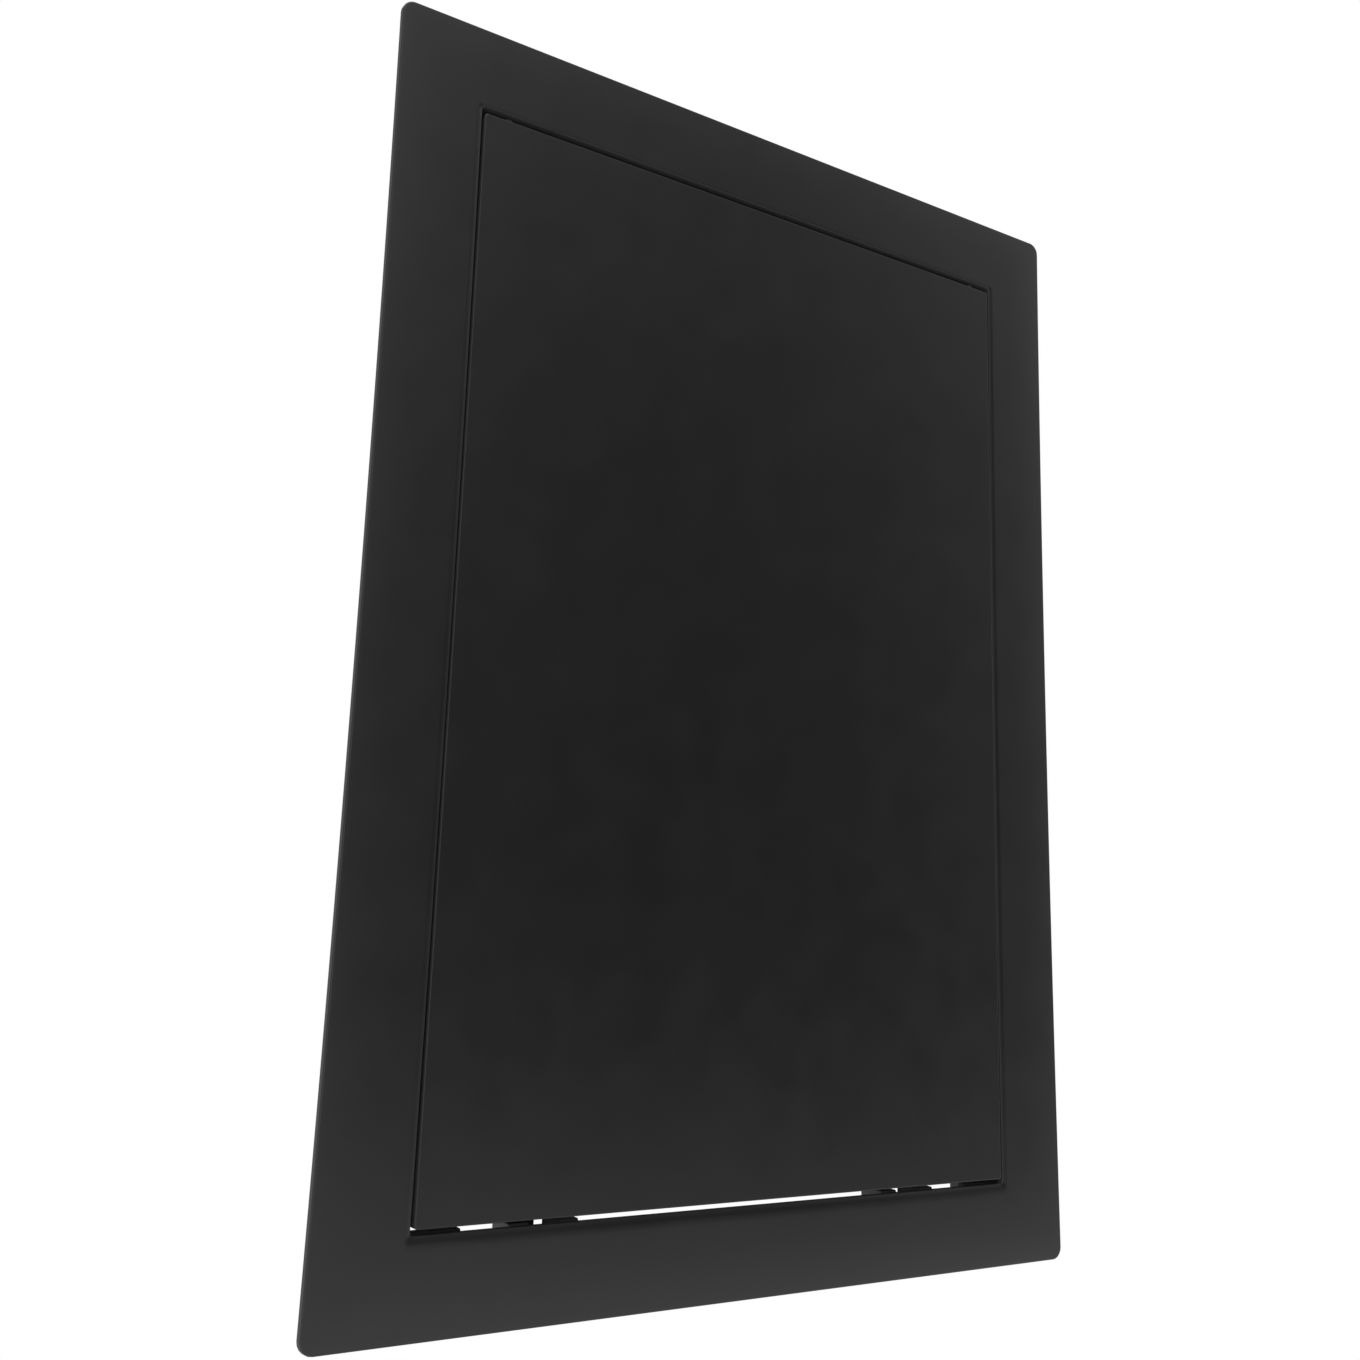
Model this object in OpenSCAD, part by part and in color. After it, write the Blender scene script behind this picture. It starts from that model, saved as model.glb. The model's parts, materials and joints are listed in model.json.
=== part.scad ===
// Inspection hatch with a flush, bottom-hinged door in a flanged wall frame.
// Millimetres. X runs to the right, Y runs into the wall and Z runs up.
// The origin is the centre of the clear opening, in the plane of the wall face.

/* [Opening and flange] */
// Clear width of the opening
opening_w = 200; // [170:5:400]
// Clear height of the opening
opening_h = 300; // [200:5:500]
// Width of the visible flange all round the opening
flange_w = 24; // [22:1:40]
// Thickness of the flange in front of the wall face
flange_t = 2.5; // [2:0.1:3]
// Radius of the flange's outer corners
flange_corner_r = 3.5; // [2:0.5:8]
// Radius of the opening's corners
opening_corner_r = 1; // [0.6:0.1:2]
// Bevel on the outer front edges of the flange and of the door
edge_bevel = 0.5; // [0.2:0.1:0.8]
// Width of the slope round the opening, where the flange's face falls away
mouth_w = 1.2; // [0.6:0.1:1.6]
// Depth of that slope
mouth_d = 0.8; // [0.4:0.1:1.2]
// How far the flange stands in front of the collar's side walls
side_lip = 1.2; // [0.8:0.1:1.6]

/* [Collar] */
// How far the collar reaches into the wall
collar_depth = 23; // [22:0.5:40]
// Thickness of the collar's side and top walls
collar_t = 2; // [1.5:0.1:3]
// Thickness of the collar's floor, which the hinge screws bite into
floor_t = 4; // [3.5:0.1:5]
// Thickness of the lip that the door closes against
lip_t = 2.2; // [1.5:0.1:3]
// How far the lip stands into the opening
lip_w = 4; // [3:0.1:5]
// Clear height left under the lip at the hinge end
lip_end = 24; // [22:1:40]
// Length of the small ledge in each bottom corner
ledge_l = 15.5; // [8:0.5:18]
// Depth of the corner ledges behind the flange
ledge_depth = 2.8; // [2:0.1:4]
// Height of the corner ledges
ledge_t = 2; // [1.5:0.1:3]
// How far the ledges and the hinge ears stand above the opening's lower edge
rest_rise = 0.6; // [0:0.1:0.8]
// Height of the key ribs that grip the plaster round the collar
key_rib_h = 0.8; // [0.4:0.1:1]
// Width of each key rib
key_rib_w = 1.2; // [0.8:0.1:2]
// Distance between the key ribs
key_rib_pitch = 7; // [5:0.5:8]
// Distance of the wall screws from the top and bottom of the opening
wall_screw_inset = 50; // [30:1:60]
// Radius of the wall screw holes
wall_screw_r = 2.2; // [1.5:0.1:2.5]
// Length of the slots that let the plaster key through the collar
key_slot_l = 18; // [10:0.5:24]
// Width of the plaster slots
key_slot_w = 5; // [3:0.1:6]

/* [Door] */
// Gap between door and flange at each side
gap_side = 1; // [0.8:0.1:1.6]
// Gap between door and frame at the top
gap_top = 2; // [1.6:0.1:3]
// Gap between door and frame at the bottom
gap_bottom = 1.5; // [1.4:0.1:2.4]
// Thickness of the door's face
door_t = 2.5; // [2:0.1:3]
// Depth of the return rim, measured from the door's front
rim_depth = 11; // [10:0.1:12]
// Thickness of the return rim
rim_t = 1.8; // [1.4:0.1:2.2]
// Radius of the door's corners
door_corner_r = 1; // [0.9:0.1:2]
// Running gap between the rim and the lip behind it
stop_gap = 0.2; // [0.1:0.05:0.5]
// Thickness of the stiffening ribs
rib_t = 1.6; // [1:0.1:2]
// Height of the stiffening ribs behind the door's face
rib_h = 4; // [2:0.5:5]
// Distance between neighbouring stiffening ribs, at most
rib_pitch = 52; // [40:1:80]
// Radius of the spacer nibs on the top rim
nib_r = 1.5; // [1:0.1:1.6]
// How far the spacer nibs stand above the rim
nib_h = 1.1; // [0.6:0.1:1.2]
// Distance of the spacer nibs from the opening's sides
nib_inset = 10; // [8:0.5:20]
// Height of the screw bosses behind the door's face
boss_h = 6; // [5.5:0.1:7]
// Radius of the screw bosses
boss_r = 4; // [3.5:0.1:4.5]

/* [Hinge] */
// Distance of each hinge's middle from the opening's side
hinge_inset = 38.8; // [34:0.2:50]
// Width of the hinge bracket over its two ears
hinge_w = 20; // [19:0.5:26]
// Thickness of the bracket's ears
ear_t = 5.7; // [5:0.1:6.2]
// Depth of the ears behind the wall face
ear_depth = 9.5; // [8:0.1:10]
// Radius of the upper rear corner of each ear
ear_corner_r = 1.5; // [1:0.1:2]
// Wall left round the hollow in the back of each ear
ear_wall = 1.6; // [1.4:0.1:1.8]
// Distance of the pivot behind the wall face
pivot_in = 3.2; // [3.1:0.05:3.4]
// Distance of the pivot below the opening
pivot_drop = 8; // [7.5:0.1:9]
// Radius of the hinge pin
pin_r = 1.5; // [1.2:0.05:1.6]
// Running clearance round the hinge pin
pin_fit = 0.05; // [0.02:0.01:0.08]
// Thickness of the pin's head
pin_head_t = 1; // [0.8:0.1:1.5]
// Radius of the pin's head
pin_head_r = 2.4; // [2.2:0.1:3]
// Outer radius of the knuckle round the pin
knuckle_r = 2.8; // [2.6:0.05:2.9]
// Gap between the arm and each ear
ear_gap = 0.3; // [0.2:0.05:0.5]
// Clearance under the knuckle
knuckle_gap = 0.4; // [0.3:0.1:1]
// Reach of the gooseneck arm behind the pivot
arm_reach = 11.2; // [11:0.1:13]
// Thickness of the gooseneck arm
arm_t = 3; // [2.5:0.1:3]
// Bend radius of the arm, at the middle of its wall
arm_bend_r = 3; // [2.5:0.1:3.5]
// Rise of the arm's upper leg above the pivot
arm_rise = 17.5; // [17:0.5:20]
// Height above the pivot up to which the arm stays narrow
neck_h = 10; // [9.5:0.1:10.5]
// Width of the arm above its neck
arm_w = 17.4; // [16:0.2:19]
// Height of the arm's foot above the upper leg
foot_h = 24; // [20:1:30]
// Thickness of the arm's middle rib
arm_rib_t = 2; // [1.5:0.1:2.5]
// Distance of the arm's screws from the arm's middle
arm_screw_x = 5; // [4.5:0.1:5.4]
// Thickness of the bracket's base
base_t = 2; // [1.6:0.1:2.5]
// Depth of the bracket's base behind the flange
base_depth = 18; // [15:0.5:20]
// How far the base reaches past each ear
base_wing = 7; // [6.5:0.1:8]

/* [Catch] */
// Distance of each catch from the opening's side
catch_inset = 30; // [24:1:40]
// Distance of each catch below the top of the opening
catch_drop = 12; // [11.5:0.5:14]
// Thickness of the pad that carries the catch clip
pad_t = 2.7; // [2.5:0.1:4]
// Width of the pad
pad_w = 16; // [15:0.5:18]
// How far the pad reaches below the clip
pad_margin = 2; // [1:0.1:3]
// Thickness of the gussets that brace the pad
gusset_t = 1.5; // [1:0.1:2]
// Thickness of the spring clip
clip_t = 0.8; // [0.6:0.1:0.9]
// Height of the spring clip
clip_h = 8; // [6:0.5:9]
// Half the width of the spring clip, at the middle of its wall
clip_half_w = 5.2; // [4.9:0.1:5.5]
// Half the gap between the clip's lips, at the middle of the wall
clip_throat = 2.5; // [2.3:0.1:2.8]
// Depth of the spring clip
clip_depth = 10; // [9.5:0.1:11]
// Bend radius of the clip's rear corners, at the middle of its wall
clip_bend_r = 1.2; // [1:0.1:1.6]
// Distance of the clip's throat behind its lips
clip_throat_in = 2.6; // [2.2:0.1:3]
// Radius of the striker's stem
stem_r = 1.7; // [1.4:0.1:1.8]
// Radius of the striker's head
head_r = 3.4; // [3:0.1:3.6]
// Distance of the striker's screws from its middle
striker_screw_x = 6.2; // [6:0.1:7]
// Thickness of the striker's base
striker_t = 2; // [1.6:0.1:2.5]
// Height of the striker's base
striker_h = 9; // [8:0.5:12]
// Length of the striker's pointed nose
striker_nose = 2; // [1.5:0.1:2.4]

/* [Screws] */
// Radius of the screws' shanks
screw_r = 1.3; // [1.1:0.05:1.4]
// Radius of the screws' heads
screw_head_r = 2.4; // [2.2:0.1:2.6]
// Height of the screws' heads
screw_head_h = 1.6; // [1.3:0.1:1.8]
// Radial clearance of a screw in its pilot hole
pilot_fit = 0.05; // [0.03:0.01:0.1]
// Radial clearance of a screw in the part that it holds
through_fit = 0.3; // [0.2:0.05:0.4]

/* [Hidden] */
$fn = 40;

// Laps and overshoots that make solids join cleanly and cuts run past a face
lap = 0.6;
past = 1;

// How far screws end before the far side of what they bite into
screw_short = 1;
clip_screw_short = 0.4;
// Corner radius of the screwed bases
base_corner_r = 2;
// Chamfer on the tips of the hinge pins
pin_tip = 0.4;
// Shares of the foot's height at which its screws sit and its rib ends
foot_screw_share = 0.64;
foot_rib_share = 0.85;

// Heights and sides of the opening
open_x = opening_w / 2;
open_z = opening_h / 2;
throat_w = opening_w - 2 * side_lip;
panel_w = opening_w + 2 * flange_w;
panel_h = opening_h + 2 * flange_w;
front_y = -flange_t;

// The door, flush with the flange
door_w = throat_w - 2 * gap_side;
door_h = opening_h - gap_top - gap_bottom;
door_mid_z = (gap_bottom - gap_top) / 2;
door_bottom = -open_z + gap_bottom;
door_top = open_z - gap_top;
door_back = front_y + door_t;
rim_back = front_y + rim_depth;
boss_y = door_back + boss_h;

// The hinge line and the floor of the pocket under it
pivot_z = -open_z - pivot_drop;
hinge_x = open_x - hinge_inset;
base_top = pivot_z - knuckle_r - knuckle_gap;
floor_z = base_top - base_t;
rest_z = -open_z + rest_rise;
neck_w = hinge_w - 2 * ear_t - 2 * ear_gap;
arm_screw_z = pivot_z + arm_rise + foot_h * foot_screw_share;

// The lip and the catch behind it
lip_y = rim_back + stop_gap;
wall_hole_y = (lip_y + lip_t + collar_depth) / 2;
wall_screw_z = open_z - wall_screw_inset;
catch_x = open_x - catch_inset;
catch_z = open_z - catch_drop;
pad_y = collar_depth - pad_t;
clip_mid_y = pad_y - clip_t / 2;
striker_y = boss_y + striker_t;
mouth_y = clip_mid_y - clip_depth;

// Screw lengths, from what each screw has to hold and bite into
bracket_screw_l = base_t + floor_t - screw_short;
arm_screw_l = arm_t + boss_h - screw_short;
striker_screw_l = striker_t + boss_h - screw_short;
clip_screw_l = clip_t + pad_t - clip_screw_short;

// Colours of the mouldings and of the hardware
shell_colour = "#2b2c2b";
door_colour = "#242524";
hardware_colour = "#3a3b3a";
steel_colour = "#b8bcc0";

function unit(v) = v / norm(v);
function side(v) = [-v[1], v[0]];
function turned(p, i) =
    i == 0 ? side(unit(p[1] - p[0]))
    : i == len(p) - 1 ? side(unit(p[i] - p[i - 1]))
    : let (a = side(unit(p[i] - p[i - 1])), b = side(unit(p[i + 1] - p[i]))) (a + b) / (1 + a * b);

// Outline of a strip of thickness t whose middle follows the points p
function band(p, t) = concat(
    [for (i = [0:len(p) - 1]) p[i] + turned(p, i) * t / 2],
    [for (i = [len(p) - 1:-1:0]) p[i] - turned(p, i) * t / 2]
);

// Points of an arc of radius r round c, from angle a0 to angle a1
function arc(c, r, a0, a1, steps = 6) =
    [for (i = [0:steps]) let (a = a0 + (a1 - a0) * i / steps) c + r * [cos(a), sin(a)]];

// Stretches a drawing in X and Z into a slab between two depths
module slab(y0, y1) {
    translate([0, y1, 0])
        rotate([90, 0, 0])
            linear_extrude(y1 - y0) children();
}

// Stretches a drawing in Y and Z along X, about the middle
module bar(length) {
    translate([-length / 2, 0, 0])
        rotate([90, 0, 90])
            linear_extrude(length) children();
}

module rounded_rect(w, h, r) {
    square([w - 2 * r, h], center = true);
    square([w, h - 2 * r], center = true);
    for (x = [-1, 1], z = [-1, 1])
        translate([x * (w / 2 - r), z * (h / 2 - r)]) circle(r);
}

// Slab whose four edges slope: full size at y_far and smaller by c all round at y_near
module sloped_slab(w, h, r, c, y_near, y_far) {
    translate([0, 0, -h / 2 + r])
        linear_extrude(h - 2 * r)
            polygon([[-w / 2, y_far], [-w / 2 + c, y_near], [w / 2 - c, y_near], [w / 2, y_far]]);
    bar(w - 2 * r)
        polygon([[y_far, -h / 2], [y_near, -h / 2 + c], [y_near, h / 2 - c], [y_far, h / 2]]);
    for (x = [-1, 1], z = [-1, 1])
        translate([x * (w / 2 - r), y_far, z * (h / 2 - r)])
            rotate([90, 0, 0])
                cylinder(h = y_far - y_near, r1 = r, r2 = r - c);
}

// Plate with a bevelled front edge
module bevelled_plate(w, h, r, t) {
    sloped_slab(w, h, r, edge_bevel, front_y, front_y + edge_bevel);
    slab(front_y + edge_bevel, front_y + t) rounded_rect(w, h, r);
}

// Pan head screw: its head stands on the XY plane and its shank points down
module pan_screw(length) {
    recess_w = screw_head_r * 0.3;
    recess_l = screw_head_r * 1.1;
    recess_d = screw_head_h * 0.6;
    rim_h = screw_head_h * 0.6;
    top_r = screw_head_r * 0.78;
    point_r = screw_r * 0.25;
    difference() {
        union() {
            cylinder(h = rim_h, r = screw_head_r);
            translate([0, 0, rim_h])
                cylinder(h = screw_head_h - rim_h, r1 = screw_head_r, r2 = top_r);
        }
        for (a = [0, 90])
            rotate([0, 0, a])
                translate([-recess_l / 2, -recess_w / 2, screw_head_h - recess_d])
                    cube([recess_l, recess_w, recess_d + past]);
    }
    translate([0, 0, -length + screw_r])
        cylinder(h = length - screw_r + lap, r = screw_r);
    translate([0, 0, -length])
        cylinder(h = screw_r, r1 = point_r, r2 = screw_r);
}

// Puts a left-hand piece on its own side, or mirrors it to the right
module on_side(s) {
    if (s > 0) mirror([1, 0, 0]) children();
    else children();
}

// Places its children in turn at each of the two distances from the middle
module at_both(distance) {
    for (s = [-1, 1]) translate([s * distance, 0, 0]) children();
}

module collar_outline(grow) {
    top = open_z + grow;
    bottom = floor_z - (grow > 0 ? floor_t + grow - collar_t : 0);
    translate([-open_x - grow, bottom]) square([opening_w + 2 * grow, top - bottom]);
}

module collar() {
    slab(-lap, collar_depth)
        difference() {
            collar_outline(collar_t);
            collar_outline(0);
        }
    last_rib_y = collar_depth - 2 * key_rib_w;
    for (y = [last_rib_y - key_rib_pitch, last_rib_y])
        slab(y, y + key_rib_w)
            difference() {
                collar_outline(collar_t + key_rib_h);
                collar_outline(collar_t - lap);
            }
}

// Flange with the opening through it; its face slopes in towards the opening
module flange() {
    difference() {
        bevelled_plate(panel_w, panel_h, flange_corner_r, flange_t);
        slab(front_y - past, past) rounded_rect(throat_w, opening_h, opening_corner_r);
        sloped_slab(throat_w, opening_h, opening_corner_r, -mouth_w, front_y, front_y + mouth_d);
    }
}

module stop_lip() {
    lip_bottom = -open_z + lip_end;
    slab(lip_y, lip_y + lip_t) {
        translate([-open_x - lap, open_z - lip_w]) square([opening_w + 2 * lap, lip_w + lap]);
        for (s = [0, 1])
            mirror([s, 0])
                translate([open_x - lip_w, lip_bottom]) square([lip_w + lap, opening_h - lip_end]);
    }
}

// Short ledge under the door in each bottom corner, a step above the flange's edge
module corner_ledges() {
    ledge_z = -open_z - ledge_t;
    for (s = [-1, 1])
        translate([s * (open_x + (lap - ledge_l) / 2), 0, 0])
            bar(ledge_l + lap)
                polygon([
                    [-lap, ledge_z], [-lap, -open_z], [0, -open_z],
                    [0, rest_z], [ledge_depth, rest_z], [ledge_depth, ledge_z]
                ]);
}

// Pad that hangs from the collar's top wall and carries a catch clip, with a gusset at each side
module catch_pad() {
    pad_bottom = catch_z - clip_h / 2 - pad_margin;
    translate([-catch_x, 0, 0]) {
        slab(pad_y, collar_depth)
            translate([-pad_w / 2, pad_bottom]) square([pad_w, open_z + lap - pad_bottom]);
        for (s = [-1, 1])
            translate([s * (pad_w - gusset_t) / 2, 0, 0])
                bar(gusset_t)
                    polygon([
                        [lip_y + lip_t - lap, open_z + lap],
                        [lip_y + lip_t - lap, open_z - lip_w],
                        [pad_y - pad_margin, pad_bottom],
                        [pad_y + lap, pad_bottom],
                        [pad_y + lap, open_z + lap]
                    ]);
    }
}

// One slot with round ends: it runs along X and is cut through along Z
module key_slot(depth) {
    half = (key_slot_l - key_slot_w) / 2;
    linear_extrude(depth) {
        square([2 * half, key_slot_w], center = true);
        at_both(half) circle(key_slot_w / 2);
    }
}

// Slots for the plaster, two in each wall of the collar
module plaster_slots() {
    cut = floor_t + key_rib_h + 2 * past;
    slot_x = key_slot_l * 1.3;
    for (s = [-1, 1]) {
        translate([s * slot_x, wall_hole_y, open_z - past]) key_slot(cut);
        translate([s * slot_x, wall_hole_y, floor_z + past - cut]) key_slot(cut);
        translate([-open_x - collar_t - key_rib_h - past, wall_hole_y, s * wall_screw_z / 2])
            rotate([0, 90, 0]) key_slot(opening_w + 2 * (collar_t + key_rib_h + past));
    }
}

module frame() {
    color(shell_colour)
        difference() {
            union() {
                flange();
                collar();
                stop_lip();
                corner_ledges();
                for (s = [-1, 1]) on_side(s) catch_pad();
            }
            // Wall screw holes through both side walls of the collar
            for (z = [-wall_screw_z, wall_screw_z])
                translate([-open_x - collar_t - past, wall_hole_y, z])
                    rotate([0, 90, 0])
                        cylinder(h = opening_w + 2 * (collar_t + past), r = wall_screw_r);
            plaster_slots();
            for (s = [-1, 1]) on_side(s) {
                // Pilot holes for the bracket screws in the floor
                translate([-hinge_x, base_depth / 2, base_top - bracket_screw_l - lap])
                    at_both((hinge_w + base_wing) / 2)
                        cylinder(h = bracket_screw_l + lap, r = screw_r + pilot_fit);
                // Pilot hole for the clip screw in the pad
                translate([-catch_x, collar_depth + past, catch_z])
                    rotate([90, 0, 0])
                        cylinder(h = pad_t + 2 * past, r = screw_r + pilot_fit);
            }
        }
}

// Places of evenly spaced ribs across a length
function rib_places(length) =
    let (n = ceil(length / rib_pitch)) [for (i = [1:n - 1]) -length / 2 + i * length / n];

module door_ribs() {
    slab(door_back - lap, door_back + rib_h) {
        for (x = rib_places(door_w))
            translate([x - rib_t / 2, door_bottom + rim_t / 2]) square([rib_t, door_h - rim_t]);
        for (z = rib_places(door_h))
            translate([-door_w / 2 + rim_t / 2, door_mid_z + z - rib_t / 2]) square([door_w - rim_t, rib_t]);
    }
}

module door_rim() {
    slab(door_back - lap, rim_back)
        translate([0, door_mid_z])
            difference() {
                rounded_rect(door_w, door_h, door_corner_r);
                square([door_w - 2 * rim_t, door_h - 2 * rim_t], center = true);
            }
}

// Boss behind the door's face, from the face to the height of the bosses
module door_boss() {
    translate([0, boss_y, 0])
        rotate([90, 0, 0]) cylinder(h = boss_h + lap, r = boss_r);
}

module boss_hole() {
    translate([0, boss_y + past, 0])
        rotate([90, 0, 0]) cylinder(h = boss_h + past - lap, r = screw_r + pilot_fit);
}

module door_screw_places() {
    translate([-hinge_x, 0, arm_screw_z]) at_both(arm_screw_x) children();
    translate([-catch_x, 0, catch_z]) at_both(striker_screw_x) children();
}

module door_panel() {
    color(door_colour)
        difference() {
            union() {
                translate([0, 0, door_mid_z]) bevelled_plate(door_w, door_h, door_corner_r, door_t);
                door_rim();
                door_ribs();
                for (s = [-1, 1]) on_side(s) {
                    door_screw_places() door_boss();
                    // Spacer nib on the top rim
                    translate([-open_x + nib_inset, door_back + rim_t, door_top + nib_h - nib_r])
                        rotate([90, 0, 0]) cylinder(h = rim_t + door_t - 2 * edge_bevel, r = nib_r);
                }
            }
            for (s = [-1, 1]) on_side(s) door_screw_places() boss_hole();
        }
}

// Thick ear with a round rear corner, a bore for the pin and a hollow in its back
module bracket_ear() {
    core_y = pivot_in + pin_r + ear_wall;
    corner_y = ear_depth - ear_corner_r;
    corner_z = rest_z - ear_corner_r;
    difference() {
        bar(ear_t)
            difference() {
                union() {
                    translate([0, base_top - lap]) square([corner_y, rest_z - base_top + lap]);
                    translate([0, base_top - lap]) square([ear_depth, corner_z - base_top + lap]);
                    translate([corner_y, corner_z]) circle(ear_corner_r);
                }
                translate([pivot_in, pivot_z]) circle(pin_r + pin_fit / 2);
            }
        translate([ear_wall - ear_t / 2, core_y, base_top])
            cube([ear_t - 2 * ear_wall, ear_depth - core_y + past, rest_z - ear_wall - base_top]);
    }
}

module hinge_bracket() {
    base_w = hinge_w + 2 * base_wing;
    color(hardware_colour)
        translate([-hinge_x, 0, 0]) {
            at_both((hinge_w - ear_t) / 2) bracket_ear();
            difference() {
                translate([0, base_depth / 2, floor_z])
                    linear_extrude(base_t) rounded_rect(base_w, base_depth, base_corner_r);
                translate([0, base_depth / 2, floor_z - past])
                    at_both((hinge_w + base_wing) / 2)
                        cylinder(h = base_t + 2 * past, r = screw_r + through_fit);
            }
        }
}

module bracket_screws() {
    color(steel_colour)
        translate([-hinge_x, base_depth / 2, base_top])
            at_both((hinge_w + base_wing) / 2) pan_screw(bracket_screw_l);
}

// Pin with its head on the side away from the door's middle
module hinge_pin() {
    color(steel_colour)
        translate([-hinge_x - hinge_w / 2, pivot_in, pivot_z])
            rotate([0, 90, 0]) {
                translate([0, 0, -pin_head_t]) cylinder(h = pin_head_t, r = pin_head_r);
                cylinder(h = hinge_w, r = pin_r);
                translate([0, 0, hinge_w]) cylinder(h = pin_tip, r1 = pin_r, r2 = pin_r - pin_tip);
            }
}

// Middle line of the gooseneck, in Y and Z from the pivot
function gooseneck() =
    let (foot_y = boss_y + arm_t / 2 - pivot_in, r = arm_bend_r)
    concat(
        [[0, 0]],
        arc([arm_reach - r, r], r, -90, 0),
        arc([arm_reach - r, arm_rise - r], r, 0, 90),
        arc([foot_y + r, arm_rise + r], r, 270, 180),
        [[foot_y, arm_rise + foot_h]]
    );

// Front view of the arm: a narrow neck between the ears and sloping shoulders above it
module arm_front() {
    shoulder_h = neck_h + (arm_w - neck_w) / 2;
    arm_top = arm_rise + foot_h + past;
    polygon([
        [-neck_w / 2, -knuckle_r - past], [-neck_w / 2, neck_h],
        [-arm_w / 2, shoulder_h], [-arm_w / 2, arm_top],
        [arm_w / 2, arm_top], [arm_w / 2, shoulder_h],
        [neck_w / 2, neck_h], [neck_w / 2, -knuckle_r - past]
    ]);
}

module hinge_arm() {
    foot_back = boss_y + arm_t - pivot_in;
    rib_top = arm_rise + foot_h * foot_rib_share;
    color(hardware_colour)
        translate([-hinge_x, pivot_in, pivot_z])
            difference() {
                union() {
                    rotate([0, 90, 0]) cylinder(h = neck_w, r = knuckle_r, center = true);
                    intersection() {
                        bar(arm_w) polygon(band(gooseneck(), arm_t));
                        slab(-knuckle_r - past, arm_reach + arm_t) arm_front();
                    }
                    // Middle rib that stiffens the foot and the upper leg
                    bar(arm_rib_t)
                        polygon([
                            [foot_back - lap, arm_rise],
                            [arm_reach - arm_bend_r, arm_rise],
                            [foot_back + arm_rib_t / 2, rib_top],
                            [foot_back - lap, rib_top]
                        ]);
                }
                rotate([0, 90, 0]) cylinder(h = neck_w + past, r = pin_r + pin_fit, center = true);
                translate([0, boss_y - pivot_in - past, arm_screw_z - pivot_z])
                    rotate([-90, 0, 0])
                        at_both(arm_screw_x) cylinder(h = arm_t + 2 * past, r = screw_r + through_fit);
            }
}

module arm_screws() {
    color(steel_colour)
        translate([-hinge_x, boss_y + arm_t, arm_screw_z])
            at_both(arm_screw_x) rotate([-90, 0, 0]) pan_screw(arm_screw_l);
}

// Middle line of one half of the clip, in X and Y, from the back to the open mouth
function clip_half() =
    let (r = clip_bend_r, draft = 0.3)
    concat(
        arc([clip_half_w - r, clip_mid_y - r], r, 90, 0, 4),
        [
            [clip_half_w - draft, mouth_y + 2 * clip_throat_in],
            [clip_throat, mouth_y + clip_throat_in],
            [clip_half_w - draft, mouth_y]
        ]
    );

function mirrored(p) = [for (i = [len(p) - 1:-1:0]) [-p[i][0], p[i][1]]];

module catch_clip() {
    color(steel_colour)
        difference() {
            translate([-catch_x, 0, catch_z - clip_h / 2])
                linear_extrude(clip_h) polygon(band(concat(mirrored(clip_half()), clip_half()), clip_t));
            translate([-catch_x, pad_y + past, catch_z])
                rotate([90, 0, 0]) cylinder(h = clip_t + 2 * past, r = screw_r + through_fit);
        }
}

module clip_screw() {
    color(steel_colour)
        translate([-catch_x, pad_y - clip_t, catch_z]) rotate([90, 0, 0]) pan_screw(clip_screw_l);
}

// Striker: a stem with an arrow head that parts the clip, on a screwed base
module striker() {
    base_edge = 1;
    base_l = 2 * (striker_screw_x + screw_head_r + base_edge);
    root_r = stem_r * 1.5;
    root_h = 0.5;
    barb_h = 1.2;
    flat_h = 0.4;
    tip_r = head_r * 0.35;
    head_y = mouth_y + clip_throat_in + clip_t;
    flat_y = head_y + barb_h;
    nose_y = flat_y + flat_h;
    color(hardware_colour)
        translate([-catch_x, 0, catch_z]) {
            difference() {
                slab(boss_y, striker_y) rounded_rect(base_l, striker_h, base_corner_r);
                translate([0, striker_y + past, 0])
                    rotate([90, 0, 0])
                        at_both(striker_screw_x) cylinder(h = striker_t + 2 * past, r = screw_r + through_fit);
            }
            rotate([-90, 0, 0])
                rotate_extrude()
                    polygon([
                        [0, striker_y - lap],
                        [root_r, striker_y - lap],
                        [root_r, striker_y + root_h],
                        [stem_r, striker_y + root_h + root_r - stem_r],
                        [stem_r, head_y],
                        [head_r, flat_y],
                        [head_r, nose_y],
                        [tip_r, nose_y + striker_nose],
                        [0, nose_y + striker_nose]
                    ]);
        }
}

module striker_screws() {
    color(steel_colour)
        translate([-catch_x, striker_y, catch_z])
            at_both(striker_screw_x) rotate([-90, 0, 0]) pan_screw(striker_screw_l);
}

frame();
door_panel();
on_side(-1) hinge_bracket();  // hinge_bracket_left
on_side(1) hinge_bracket();  // hinge_bracket_right
on_side(-1) bracket_screws();  // bracket_screws_left
on_side(1) bracket_screws();  // bracket_screws_right
on_side(-1) hinge_pin();  // hinge_pin_left
on_side(1) hinge_pin();  // hinge_pin_right
on_side(-1) hinge_arm();  // hinge_arm_left
on_side(1) hinge_arm();  // hinge_arm_right
on_side(-1) arm_screws();  // arm_screws_left
on_side(1) arm_screws();  // arm_screws_right
on_side(-1) catch_clip();  // catch_clip_left
on_side(1) catch_clip();  // catch_clip_right
on_side(-1) clip_screw();  // clip_screw_left
on_side(1) clip_screw();  // clip_screw_right
on_side(-1) striker();  // striker_left
on_side(1) striker();  // striker_right
on_side(-1) striker_screws();  // striker_screws_left
on_side(1) striker_screws();  // striker_screws_right
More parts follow.
